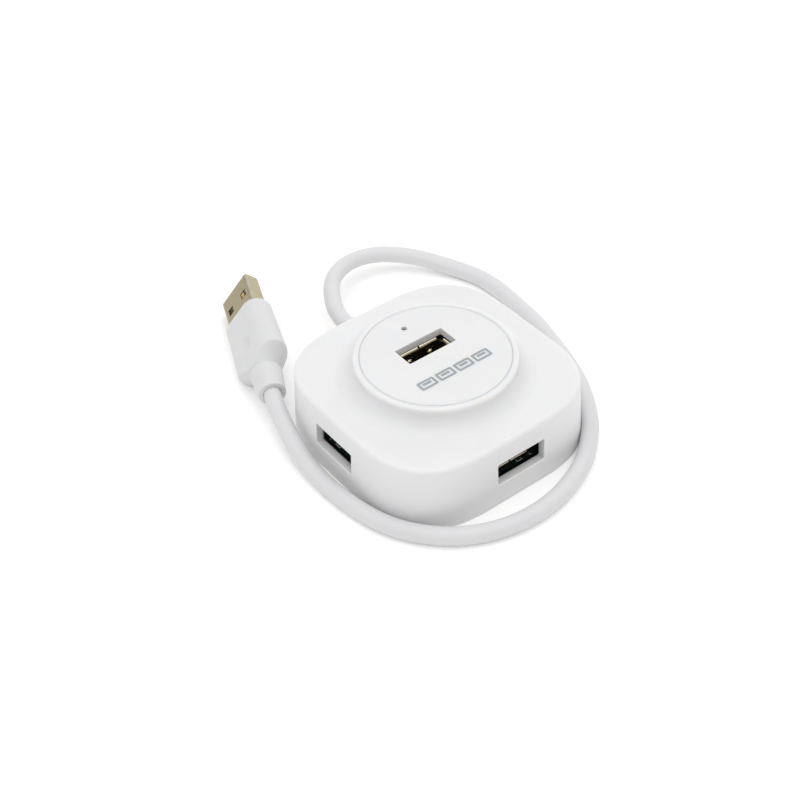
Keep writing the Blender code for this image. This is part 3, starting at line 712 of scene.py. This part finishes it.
def side_ports():
    """Each side port's name and the matrix that stands its frame at the outer face: -Y looks out."""
    places = (("front", (SIDE_PORT_OFFSET, -HALF_SIDE), 0.0),
              ("right", (HALF_SIDE, SIDE_PORT_OFFSET), 90.0),
              ("left", (-HALF_SIDE, SIDE_PORT_OFFSET), -90.0))
    for name, (x, y), turn in places:
        yield name, at(x, y, 0.0) @ Matrix.Rotation(math.radians(turn), 4, "Z")


def lean(z):
    """How far the walls, which widen towards the foot, stand out at a height."""
    return DRAFT * min(1.0, max(0.0, (WALL_TOP - z) / (WALL_TOP - SHELL_FOOT)))


def shell_rings():
    """The shell's skin, from the disc's recess over the face and down the walls, then up inside."""
    recess = FACE_HEIGHT - DISC_THICKNESS - GAP
    turned = [(DISC_RADIUS, recess), (DISC_RADIUS, FACE_HEIGHT - GROOVE_DEPTH),
              (DISC_RADIUS + GROOVE_HALF, FACE_HEIGHT)]
    turned += turned_arc((FACE_RADIUS - FACE_EDGE_ROUND, FACE_HEIGHT - FACE_EDGE_ROUND),
                         FACE_EDGE_ROUND, 90, 0, 8)
    turned += [(FACE_RADIUS, FACE_HEIGHT - 2 * FACE_EDGE_ROUND), *flare_profile()]
    rings = [polar_ring(radius, z) for radius, z in turned]
    for step in range(9):
        angle = math.radians(90 * step / 8)
        rings.append(case_ring(TOP_EDGE_ROUND * (1 - math.sin(angle)),
                               BODY_HEIGHT - TOP_EDGE_ROUND * (1 - math.cos(angle))))
    for row in range(1, WALL_ROWS + 1):
        z = WALL_TOP + (SHELL_FOOT + SEAM_EDGE - WALL_TOP) * row / WALL_ROWS
        rings.append(case_ring(-lean(z), z))
    rings.append(case_ring(SEAM_EDGE - DRAFT, SHELL_FOOT))
    rings.append(case_ring(WALL, SHELL_FOOT))
    rings.append(case_ring(WALL, BODY_HEIGHT - WALL))
    rings.append(polar_ring(FACE_POCKET_RADIUS, BODY_HEIGHT - WALL))
    rings.append(polar_ring(FACE_POCKET_RADIUS, SKIN_UNDERSIDE))
    return rings


def side_window(name, place):
    """A side port's cutter, tilted with the leaning wall, that widens again inside it."""
    out = lean(SIDE_WINDOW_HEIGHT)
    depth = WALL + out
    flare = SIDE_WINDOW_FLARE
    profile = lip(SIDE_WINDOW_LIP, 3) + [(depth - flare, 0.0)]
    for degrees in (15, 30, 45, 60, 75):
        angle = math.radians(degrees)
        profile.append((depth - flare * (1 - math.sin(angle)), flare * (1 - math.cos(angle))))
    profile.append((depth + 0.3, 1.3))
    tilt = Matrix.Rotation(-math.atan(DRAFT / (BODY_HEIGHT - SHELL_FOOT)), 4, "X")
    centre = place @ at(0.0, -out, SIDE_WINDOW_HEIGHT) @ tilt
    return window_cutter(f"{name}_window", SIDE_WINDOW, SIDE_WINDOW_CORNER, profile, centre @ LOOK_OUT)


def upper_shell():
    """The square body with its raised round face, screw bosses, windows, light hole and lead slot."""
    shell = mesh_object("upper_case", *loft(shell_rings()))
    for number, (x, y) in enumerate(boss_places()):
        boss = prism(f"boss_{number}", circle(BOSS_RADIUS), BOSS_FOOT, BODY_HEIGHT - WALL / 2,
                     at(x, y, 0.0))
        carve(shell, boss, "UNION")
    for name, place in side_ports():
        carve(shell, side_window(name, place))
    margin = WINDOW_COLLAR + GAP
    wide = (TOP_WINDOW[0] + 2 * margin, TOP_WINDOW[1] + 2 * margin)
    carve(shell, window_cutter("collar_clearance", wide, 0.5, ((-1.0, 0.0), (5.0, 0.0)),
                               at(0.0, TOP_PORT_Y, FACE_HEIGHT)))
    carve(shell, prism("light_hole", circle(LED_HOLE_RADIUS + 0.05, 32), 19.0, 26.0, at(0.0, LED_Y, 0.0)))
    carve(shell, lead_slot())
    shade(shell, 32)
    place_piece(shell, WHITE_CASE, "case_plastic", "upper_shell")


def boss_places():
    return [(x, y) for x in (-BOSS_OFFSET, BOSS_OFFSET) for y in (-BOSS_OFFSET, BOSS_OFFSET)]


def lead_slot():
    """A slot through the rear wall with a round top, filled below by the base's tab."""
    outline = [(-SLOT_HALF, -1.0), (SLOT_HALF, -1.0)]
    for step in range(17):
        angle = math.pi * step / 16
        outline.append((SLOT_HALF * math.cos(angle), GLAND_HEIGHT + SLOT_HALF * math.sin(angle)))
    return prism("lead_slot", outline, -3.0, 3.0, at(0.0, HALF_SIDE, 0.0) @ LOOK_OUT)


def face_disc():
    """The disc set into the raised face, with the collar that lines the top port's window."""
    edge = 0.2
    low = FACE_HEIGHT - DISC_THICKNESS
    profile = [(DISC_RADIUS - edge, low), (DISC_RADIUS, low + edge),
               (DISC_RADIUS, FACE_HEIGHT - GROOVE_DEPTH), (DISC_RADIUS - GROOVE_HALF, FACE_HEIGHT)]
    disc = mesh_object("round_face", *loft([polar_ring(radius, z) for radius, z in profile]))
    size = (TOP_WINDOW[0] / 2 + WINDOW_COLLAR, TOP_WINDOW[1] / 2 + WINDOW_COLLAR, 0.45)
    carve(disc, prism("collar", rounded_section(*size), SKIN_UNDERSIDE, low + 0.5,
                      at(0.0, TOP_PORT_Y, 0.0)), "UNION")
    carve(disc, window_cutter("top_window", TOP_WINDOW, TOP_WINDOW_CORNER,
                              lip(TOP_WINDOW_LIP, 4) + [(4.0, 0.0)],
                              at(0.0, TOP_PORT_Y, FACE_HEIGHT)))
    carve(disc, round_cutter("light_hole", LED_HOLE_RADIUS, lip(LED_HOLE_LIP, 3) + [(4.0, 0.0)],
                             at(0.0, LED_Y, FACE_HEIGHT)))
    shade(disc, 32)
    place_piece(disc, WHITE_CASE, "case_plastic", "face_disc")


def base_plate():
    """The floor with its rim, the tab under the boot, and a pad and a recess for each screw."""
    inset = BASE_INSET - DRAFT
    rings = []
    for step in range(6):
        angle = math.radians(90 * step / 5)
        rings.append(case_ring(inset + BASE_EDGE * (1 - math.sin(angle)),
                               BASE_EDGE * (1 - math.cos(angle))))
    rings.append(case_ring(inset, BASE_RIM - SEAM_EDGE))
    rings.append(case_ring(inset + SEAM_EDGE, BASE_RIM))
    rings.append(case_ring(WALL + GAP, BASE_RIM))
    rings.append(case_ring(WALL + GAP, BASE_FLOOR))
    plate = mesh_object("base_cover", *loft(rings))
    rear_tab(plate)
    flip = Matrix.Rotation(math.pi, 4, "X")
    for number, (x, y) in enumerate(boss_places()):
        place = at(x, y, 0.0)
        carve(plate, prism(f"pad_{number}", circle(BOSS_RADIUS, 32), 1.0, PAD_TOP, place), "UNION")
        carve(plate, round_cutter(f"head_recess_{number}", HEAD_RECESS_RADIUS,
                                  lip(0.15, 3) + [(HEAD_RECESS_DEPTH, 0.0)], place @ flip))
        carve(plate, prism(f"screw_hole_{number}", circle(SCREW_HOLE_RADIUS), 1.0, 6.0, place))
    shade(plate, 32)
    place_piece(plate, WHITE_CASE, "case_plastic", "base_plate")


def rear_tab(plate):
    """Adds the tab that closes the lead's slot, and seats the boot's neck in its top."""
    depth = WALL + TAB_BEHIND_WALL
    outline = [(-TAB_HALF, -depth), (TAB_HALF, -depth), (TAB_HALF, 0.0), (-TAB_HALF, 0.0)]
    carve(plate, prism("rear_tab", outline, BASE_RIM / 2, TAB_TOP,
                       at(0.0, HALF_SIDE + lean(TAB_TOP), 0.0)), "UNION")
    carve(plate, prism("neck_seat", circle(SLOT_HALF, 48), -4.0, 4.0,
                       at(0.0, HALF_SIDE, GLAND_HEIGHT) @ LOOK_OUT))


def case_screws():
    """Pan-head screws with a tapered cross recess; their heads look down."""
    for number, (x, y) in enumerate(boss_places(), 1):
        place = at(x, y, 0.0)
        rings = [[(px, py, z) for px, py in circle(radius, 36)] for radius, z in SCREW_PROFILE]
        screw = mesh_object(f"screw_{number}", *loft(rings), place)
        for turn in (0.0, 90.0):
            arm = [[(-length, -width, z), (length, -width, z), (length, width, z), (-length, width, z)]
                   for z, length, width in DRIVE_ARM]
            spin = Matrix.Rotation(math.radians(turn + 20 * number), 4, "Z")
            carve(screw, mesh_object("drive", *loft(arm), place @ spin))
        shade(screw, 30)
        place_piece(screw, STEEL, "screw_steel", f"case_screw_{number}")


# Sheet-metal tubes

def spaced(start, stop, step, marks=()):
    """Numbers from start to stop about a step apart, with each mark among them exactly."""
    fixed = sorted({start, stop, *(m for m in marks if min(start, stop) < m < max(start, stop))})
    if stop < start:
        fixed.reverse()
    numbers = [fixed[0]]
    for low, high in zip(fixed, fixed[1:]):
        count = max(1, round(abs(high - low) / step))
        numbers += [low + (high - low) * part / count for part in range(1, count + 1)]
    return numbers


def tube_stations(width, height, corner, seam, step, marks):
    """Stations round a folded tube, as x, z, outward normal and side. They run from one edge of the
    seam, which is at the middle of the lower side, to the other; marks are places they must include."""
    half_w, half_h = width / 2, height / 2
    flat_w, flat_h = half_w - corner, half_h - corner
    marks = [*marks, *(-m for m in marks)]
    stations = [(x, -half_h, 0.0, -1.0, "low") for x in spaced(seam, flat_w, step, marks)]
    stations += corner_stations(flat_w, -flat_h, corner, -90)
    stations += [(half_w, z, 1.0, 0.0, "right") for z in spaced(-flat_h, flat_h, step)]
    stations += corner_stations(flat_w, flat_h, corner, 0)
    stations += [(x, half_h, 0.0, 1.0, "high") for x in spaced(flat_w, -flat_w, step, marks)]
    stations += corner_stations(-flat_w, flat_h, corner, 90)
    stations += [(-half_w, z, -1.0, 0.0, "left") for z in spaced(flat_h, -flat_h, step)]
    stations += corner_stations(-flat_w, -flat_h, corner, 180)
    stations += [(x, -half_h, 0.0, -1.0, "low") for x in spaced(-flat_w, -seam, step, marks)]
    return stations


def corner_stations(x, z, radius, start, steps=6):
    made = []
    for step in range(1, steps):
        angle = math.radians(start + 90 * step / steps)
        nx, nz = math.cos(angle), math.sin(angle)
        made.append((x + radius * nx, z + radius * nz, nx, nz, "corner"))
    return made


def folded_tube(name, stations, depths, sheet, keep, shift, place):
    """A tube of thin sheet along +Y: keep says which faces are there, shift moves them outward."""
    verts = []
    for y in depths:
        for x, z, nx, nz, side in stations:
            out = shift(x, y, z, side)
            verts.append((x + nx * out, y, z + nz * out))
    count = len(stations)
    faces = []
    for row in range(len(depths) - 1):
        y = (depths[row] + depths[row + 1]) / 2
        for index in range(count - 1):
            first, second = stations[index], stations[index + 1]
            side = first[4] if first[4] == second[4] else "corner"
            if keep((first[0] + second[0]) / 2, y, (first[1] + second[1]) / 2, side):
                corner = row * count + index
                faces.append((corner, corner + 1, corner + count + 1, corner + count))
    made = mesh_object(name, verts, faces)
    edit_mesh(made.data, drop_loose_points)
    solid = made.modifiers.new("sheet", "SOLIDIFY")
    solid.thickness = sheet * MM
    solid.offset = 0.0
    solid.use_even_offset = True
    bake_modifiers(made)
    made.data.transform(place)
    shade(made, 35)
    return made


def drop_loose_points(bm):
    bmesh.ops.delete(bm, geom=[v for v in bm.verts if not v.link_faces], context="VERTS")


def jack_keep(x, y, z, side):
    """Lips are missing at the corners; slits free a spring on each half of the wide sides."""
    if y < LIP_END:
        across = LIP_HALF > abs(x)
        upright = LIP_TALL_HALF > abs(z)
        limits = {"low": across and abs(x) > LIP_NOTCH, "high": across,
                  "left": upright, "right": upright, "corner": False}
        return limits[side]
    if side in ("low", "high"):
        across = abs(abs(x) - SPRING_X)
        in_slit = SPRING_HALF < across < SPRING_HALF + SLIT and SPRING_TIP - SLIT < y < SPRING_ROOT
        at_tip = across < SPRING_HALF + SLIT and SPRING_TIP - SLIT < y < SPRING_TIP
        return not (in_slit or at_tip)
    return True


def jack_shift(flare):
    """Turns the lips outward, and bends the springs in with a dimple near each tip."""
    def shift(x, y, z, side):
        out = 0.0
        if y < LIP_LENGTH and side in flare:
            out = flare[side] * (1 - math.sqrt(max(0.0, 1 - (1 - y / LIP_LENGTH) ** 2)))
        across = abs(abs(x) - SPRING_X)
        if side in ("low", "high") and across <= SPRING_HALF + 1e-6 and SPRING_TIP <= y < SPRING_ROOT:
            bend = (SPRING_ROOT - y) / (SPRING_ROOT - SPRING_TIP)
            out -= SPRING_BEND * bend * bend
            away = math.hypot(across, y - DIMPLE_Y) / DIMPLE_RADIUS
            if away < 1:
                out -= DIMPLE_DEPTH * (1 - away * away) ** 0.6
        return out
    return shift


def receptacle(port, length, place, flare):
    """One port's folded shell. In its own frame the mouth is at Y = 0 and looks along -Y."""
    marks = (SPRING_X - SPRING_HALF - SLIT, SPRING_X - SPRING_HALF, SPRING_X + SPRING_HALF,
             SPRING_X + SPRING_HALF + SLIT, LIP_HALF, LIP_NOTCH)
    stations = tube_stations(JACK_WIDTH - JACK_SHEET, JACK_HEIGHT - JACK_SHEET, JACK_CORNER,
                             seam=0.05, step=0.2, marks=marks)
    depths = [*LIP_DEPTHS, SPRING_TIP - SLIT]
    depths += spaced(SPRING_TIP, DIMPLE_END, 0.15)
    depths += spaced(4.8, SPRING_ROOT, 0.8)
    depths += [length]
    tube = folded_tube(f"{port}_jack", stations, depths, JACK_SHEET, jack_keep, jack_shift(flare),
                       place @ at(0.0, 0.0, JACK_HEIGHT / 2))
    place_piece(tube, NICKEL, "nickel", f"{port}_receptacle")


def receptacles():
    for port, place in side_ports():
        receptacle(port, JACK_LENGTH, place @ at(0.0, JACK_SETBACK, SEAT), LIP_FLARE)
    upright = Euler((math.radians(-90), 0.0, math.radians(180))).to_matrix().to_4x4()
    place = at(0.0, TOP_PORT_Y + JACK_HEIGHT / 2, SKIN_UNDERSIDE - GAP) @ upright
    receptacle("top", TOP_JACK_LENGTH, place, dict(LIP_FLARE, low=LIP_FLARE["high"]))


# Plug

def plug_shell():
    """The folded shell with its two pairs of windows; its folds get a lighter, rougher copy of its nickel
    as a painted highlight.
    """
    half = PLUG_WINDOW[0] / 2
    marks = (PLUG_WINDOW_X - half, PLUG_WINDOW_X + half)
    stations = tube_stations(PLUG_WIDTH - PLUG_SHEET, PLUG_THICKNESS - PLUG_SHEET, PLUG_CORNER,
                             seam=0.04, step=PLUG_STEP, marks=marks)
    window = (PLUG_WINDOW_Y - PLUG_WINDOW[1] / 2, PLUG_WINDOW_Y + PLUG_WINDOW[1] / 2)
    tip = PLUG_REACH
    depths = spaced(-PLUG_TAIL, tip - 0.6, PLUG_STEP, window) + [tip - 0.4, tip - 0.25, tip - 0.12, tip]

    def keep(x, y, z, side):
        across = abs(abs(x) - PLUG_WINDOW_X) < half
        return not (side in ("low", "high") and across and window[0] < y < window[1])

    def shift(x, y, z, side):
        near = max(0.0, 1 - (tip - y) / PLUG_NOSE_LENGTH)
        return -PLUG_NOSE_TURN * near * near

    shell = folded_tube("plug_tube", stations, depths, PLUG_SHEET, keep, shift, PLUG_PLACE)
    place_piece(shell, PLUG_NICKEL, "nickel", "plug_shell")
    # The fold faces take the lighter copy of the nickel: a painted highlight along each fold.
    shell.data.materials.append(FOLD_HIGHLIGHT_NICKEL)
    back = PLUG_PLACE.inverted()
    for face in shell.data.polygons:
        middle = back @ face.center / MM
        painted_highlight = (abs(middle.x) > PLUG_WIDTH / 2 - PLUG_CORNER
                and abs(middle.z) > PLUG_THICKNESS / 2 - PLUG_CORNER)
        face.material_index = int(painted_highlight)
    return shell


def section_radii(half_width, half_thickness, corner):
    """A rounded rectangle's distance from the middle at each of the grip ring's angles."""
    outline = rounded_section(half_width, half_thickness, corner, 24)
    bearings, reaches = [], []
    for (x0, z0), (x1, z1) in zip(outline, outline[1:] + outline[:1]):
        for part in range(12):
            x, z = x0 + (x1 - x0) * part / 12, z0 + (z1 - z0) * part / 12
            bearings.append(math.atan2(z, x))
            reaches.append(math.hypot(x, z))
    wanted = np.arange(GRIP_RING) * 2 * math.pi / GRIP_RING
    return np.interp(wanted, np.unwrap(bearings), reaches, period=2 * math.pi)


def grip_ring(radii, ys):
    """One ring of the grip: radii and positions along it at each angle, with the thumb dimple."""
    ring = []
    for index in range(GRIP_RING):
        angle = 2 * math.pi * index / GRIP_RING
        x, y, z = radii[index] * math.cos(angle), ys[index], radii[index] * math.sin(angle)
        away = math.hypot((x - THUMB_CENTRE[0]) / THUMB_HALF[0], (y - THUMB_CENTRE[1]) / THUMB_HALF[1])
        if abs(z) > 3.0 and away < 1:
            z -= math.copysign(THUMB_DEPTH * (1 - away * away) ** 1.3, z)
        ring.append((x, y, z))
    return ring


def even_ring(y, radii):
    return grip_ring(np.broadcast_to(radii, GRIP_RING), [y] * GRIP_RING)


def slab_rings():
    """The grip's stadium-shaped slab, a little wider towards its back."""
    rings = [even_ring(y, section_radii(*sizes)) for y, *sizes in GRIP_FRONT]
    start, width, thickness, corner = GRIP_FRONT[-1]
    for step in range(1, 49):
        share = step / 48
        radii = section_radii(width + GRIP_WIDENING * share ** 1.4, thickness, corner)
        rings.append(even_ring(start + (GRIP_BODY_END - start) * share, radii))
    return rings


def cone_rings():
    """The hollow cone that cuts off the slab and runs into the neck."""
    rim = section_radii(GRIP_RIM_WIDTH, *GRIP_FRONT[-1][2:])
    span = CONE_RADIUS - NECK_RADIUS
    share_at_rim = 1 - np.maximum((rim - NECK_RADIUS) / span, 0.0) ** (1 / CONE_CURVE)
    rim_y = GRIP_END + (NECK_Y - GRIP_END) * share_at_rim
    rings = [grip_ring(rim, rim_y + 0.10), grip_ring(rim - 0.03, rim_y + 0.01)]
    for step in range(1, 21):
        ys = rim_y + (NECK_Y - rim_y) * step / 20
        share = (ys - GRIP_END) / (NECK_Y - GRIP_END)
        rings.append(grip_ring(NECK_RADIUS + span * np.abs(1 - share) ** CONE_CURVE, ys))
    return rings


def collar_rings():
    """The tapered collar round the lead, with a rounded end."""
    rings = [even_ring(NECK_Y - 0.01, 4.10), even_ring(NECK_Y - 0.07, 4.21),
             even_ring(NECK_Y - COLLAR_SHOULDER, COLLAR_RADIUS)]
    for step in range(1, 9):
        share = step / 8
        along = (COLLAR_TAPER_END - NECK_Y + COLLAR_SHOULDER) * share
        rings.append(even_ring(NECK_Y - COLLAR_SHOULDER + along, COLLAR_RADIUS - COLLAR_TAPER * share))
    for degrees in (20, 40, 60, 80, 90):
        turn = math.radians(degrees)
        rings.append(even_ring(COLLAR_TAPER_END - 0.6 * math.sin(turn),
                               COLLAR_TIP_RADIUS - 0.30 * (1 - math.cos(turn))))
    return rings


def plug_grip():
    """The moulded grip; what would sink into the table is flattened against it."""
    grip = mesh_object("grip", *loft(slab_rings() + cone_rings() + collar_rings()), PLUG_PLACE)
    pocket = rounded_section(PLUG_WIDTH / 2 + POCKET_CLEARANCE, PLUG_THICKNESS / 2 + POCKET_CLEARANCE, 0.7)
    carve(grip, prism("pocket", pocket, 0.0, PLUG_TAIL + GAP + 3.0,
                      PLUG_PLACE @ at(0.0, 3.0, 0.0) @ LOOK_OUT))
    carve(grip, round_cutter("cord_hole", COLLAR_BORE, lip(0.40, 5) + [(COLLAR_BORE_DEPTH, 0.0)],
                             PLUG_PLACE @ at(0.0, -COLLAR_END, 0.0) @ LOOK_OUT))
    for vertex in grip.data.vertices:
        vertex.co.z = max(vertex.co.z, 0.0)
    shade(grip, 40)
    place_piece(grip, WHITE_GRIP, "cord_jacket", "plug_grip")
    return grip


def span_block(name, x_span, y_span, z_span):
    """A block in the plug's frame between two places on each axis."""
    (left, right), (near, far) = x_span, y_span
    return prism(name, [(left, near), (right, near), (right, far), (left, far)], *z_span)


def plug_insulator():
    """A slab along the lower wide side with a channel for each contact, and a block at the back."""
    low, high = plug_frame_box("plug_insulator")
    sides = (-high.x, high.x)
    slab = span_block("carrier", sides, (-1.0, PLUG_REACH - 0.6), (low.z, high.z))
    block = span_block("back", sides, (-PLUG_TAIL + 0.6, 0.5),
                       (low.z, PLUG_THICKNESS / 2 - PLUG_SHEET - 0.1))
    carve(slab, block, "UNION")
    for x in PLUG_CONTACT_X:
        channel = (x - PLUG_CHANNEL_HALF, x + PLUG_CHANNEL_HALF)
        carve(slab, span_block("channel", channel, (0.8, PLUG_REACH), (high.z - 0.12, high.z + 1.0)))
    slab.data.transform(PLUG_PLACE)
    soften(slab, 0.04)
    place_piece(slab, NYLON, "nylon", "plug_insulator")
    return slab


def plug_frame_box(node):
    """A plug node's box in the plug's own frame, in millimetres."""
    back = PLUG_PLACE.inverted()
    points = [(back @ vertex.co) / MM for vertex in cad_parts[node].data.vertices]
    return (Vector(min(p[axis] for p in points) for axis in range(3)),
            Vector(max(p[axis] for p in points) for axis in range(3)))


# Boot

def boot():
    """The moulded boot: a flange behind the wall, a neck in the slot, and a ribbed, tapered tail."""
    profile = [*BOOT_INSIDE, *BOOT_SHOULDER]
    (start, wide), (end, narrow) = BOOT_TAIL
    for step in range(1, BOOT_TAIL_ROWS + 1):
        share = step / BOOT_TAIL_ROWS
        radius = wide + (narrow - wide) * share
        groove = max(0.0, math.sin(share * RIBS * 2 * math.pi - math.pi / 2)) ** 0.7
        fade = min(1.0, (1 - share) * 6)
        profile.append((start + (end - start) * share, radius - RIB_DEPTH * groove * fade))
    profile += BOOT_TIP
    rings = [[(x, y, GLAND_HEIGHT + z) for x, z in circle(radius, 56)] for y, radius in profile]
    made = mesh_object("boot", *loft(rings))
    shade(made, 50)
    place_piece(made, WHITE_JACKET, "cord_jacket", "cable_gland")
    return made


# Printed mark

def add_block(verts, faces, z_span, outer, inner=None):
    """Adds an upright block on an outline, or a frame between two outlines, to a mesh in the making."""
    base, count = len(verts), len(outer)
    loops = [outer] if inner is None else [outer, inner]
    for z in z_span:
        for loop in loops:
            verts.extend((x, y, z) for x, y in loop)
    rise = len(loops) * count
    for start in range(base, base + rise, count):
        for index in range(count):
            a, b = start + index, start + (index + 1) % count
            faces.append((a, b, b + rise, a + rise))
    for level in (base, base + rise):
        if inner is None:
            faces.append(tuple(range(level, level + count)))
            continue
        for index in range(count):
            a, b = level + index, level + (index + 1) % count
            faces.append((a, b, b + count, a + count))


def printed_mark():
    """A row of four small port pictograms, printed below the top port."""
    verts, faces = [], []
    for number in range(4):
        centre = (number - 1.5) * MARK_PITCH
        frames = [[(centre + x, MARK_Y + y) for x, y in rounded_section(*sizes)]
                  for sizes in ((2.40, 1.45, 0.45, 6), (1.80, 0.85, 0.10, 6))]
        tongue = [(centre + x, MARK_Y + MARK_RISE + y) for x, y in rounded_section(1.22, 0.36, 0.06, 3)]
        add_block(verts, faces, (MARK_LOW, MARK_HIGH), *frames)
        add_block(verts, faces, (MARK_LOW, MARK_HIGH), tongue)
    place_piece(mesh_object("printed_mark", verts, faces), PRINT, "case_plastic")


def legend_outlines(port):
    """The outlines behind one window: a frame that is open at the back, and two small corners."""
    line, near, far = LEGEND_LINE, LEGEND_NEAR, LEGEND_FAR
    start, end = LEGEND_FRAMES[port]
    yield [(start, near), (end, near), (end, far), (end - line, far), (end - line, near + line),
           (start + line, near + line), (start + line, far), (start, far)]
    for x in LEGEND_CORNERS[port]:
        yield [(x, near), (x + 0.5, near), (x + 0.5, near + line), (x + line, near + line),
               (x + line, near + 0.6), (x, near + 0.6)]


def board_legend():
    """Component outlines printed on the board behind each side port's window."""
    verts, faces = [], []
    for port, place in side_ports():
        for outline in legend_outlines(port):
            turned = [(place @ (Vector((x, y, 0.0)) * MM)) / MM for x, y in outline]
            add_block(verts, faces, (LEGEND_LOW, LEGEND_HIGH), [(point.x, point.y) for point in turned])
    place_piece(mesh_object("board_legend", verts, faces), LEGEND, "board")


# CAD nodes that keep their shape

def dress(node, material, width=0.0):
    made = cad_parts[node]
    made.data.materials.clear()
    made.data.materials.append(material)
    if width:
        soften(made, width).harden_normals = True
        made.data.shade_smooth()


def dress_nodes():
    for port in ("front", "left", "right", "top"):
        dress(f"{port}_tongue", BLACK_PLASTIC, 0.12)
        for number in range(1, 5):
            dress(f"{port}_contact_{number}", GOLD, 0.04)
    for number in range(1, 5):
        dress(f"plug_contact_{number}", GOLD, 0.05)
    for name, material in WIRES.items():
        dress(name, material)
    dress("main_board", BOARD, 0.1)
    dress("hub_chip", BLACK_PLASTIC, 0.05)
    dress("crystal", ALUMINIUM, 0.3)
    dress("input_capacitor", ALUMINIUM, 0.05)
    dress("output_capacitor", ALUMINIUM, 0.05)
    # The light pipe and the LED take the near-black light-guide material: painted shade in the light hole.
    dress("light_pipe", CLEAR, 0.1)
    dress("status_led", CLEAR, 0.05)


# Stage

def floor_and_lights():
    corners = [(x * FLOOR_REACH, y * FLOOR_REACH, 0.0) for x, y in ((-1, -1), (1, -1), (1, 1), (-1, 1))]
    mesh = bpy.data.meshes.new("floor")
    mesh.from_pydata(corners, [], [(0, 1, 2, 3)])
    floor = add_object("floor", mesh)
    sweep = bpy.data.materials.new("floor")
    sweep.use_nodes = True
    fill(sweep.node_tree.nodes["Principled BSDF"], Base_Color=FLOOR_COLOUR, Roughness=0.9,
         Specular_IOR_Level=0.2, Emission_Color=FLOOR_GLOW_COLOUR, Emission_Strength=FLOOR_GLOW)
    mesh.materials.append(sweep)

    world = bpy.data.worlds.new("studio")
    world.use_nodes = True
    fill(world.node_tree.nodes["Background"], Color=(1.0, 1.0, 1.0, 1.0), Strength=WORLD_LIGHT)
    bpy.context.scene.world = world
    for light in LIGHTS:
        add_area(*light)
    bpy.context.scene.view_settings.view_transform = "Standard"


def add_area(name, place, target, size, power):
    light = add_object(name, bpy.data.lights.new(name, "AREA"))
    light.data.size = size
    light.data.energy = power
    light.location = place
    aim = Vector(target) - Vector(place)
    light.rotation_mode = "QUATERNION"
    light.rotation_quaternion = aim.to_track_quat("-Z", "Y")


make_camera()
cord_piece, cord_length = make_cord()
upper_shell()
face_disc()
base_plate()
case_screws()
receptacles()
boot_piece = boot()
shell_piece = plug_shell()
grip_piece = plug_grip()
insulator_piece = plug_insulator()
printed_mark()
board_legend()
dress_nodes()
floor_and_lights()

plug_pieces = [grip_piece, shell_piece, insulator_piece]
plug_pieces += [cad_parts[f"plug_contact_{number}"] for number in range(1, 5)]
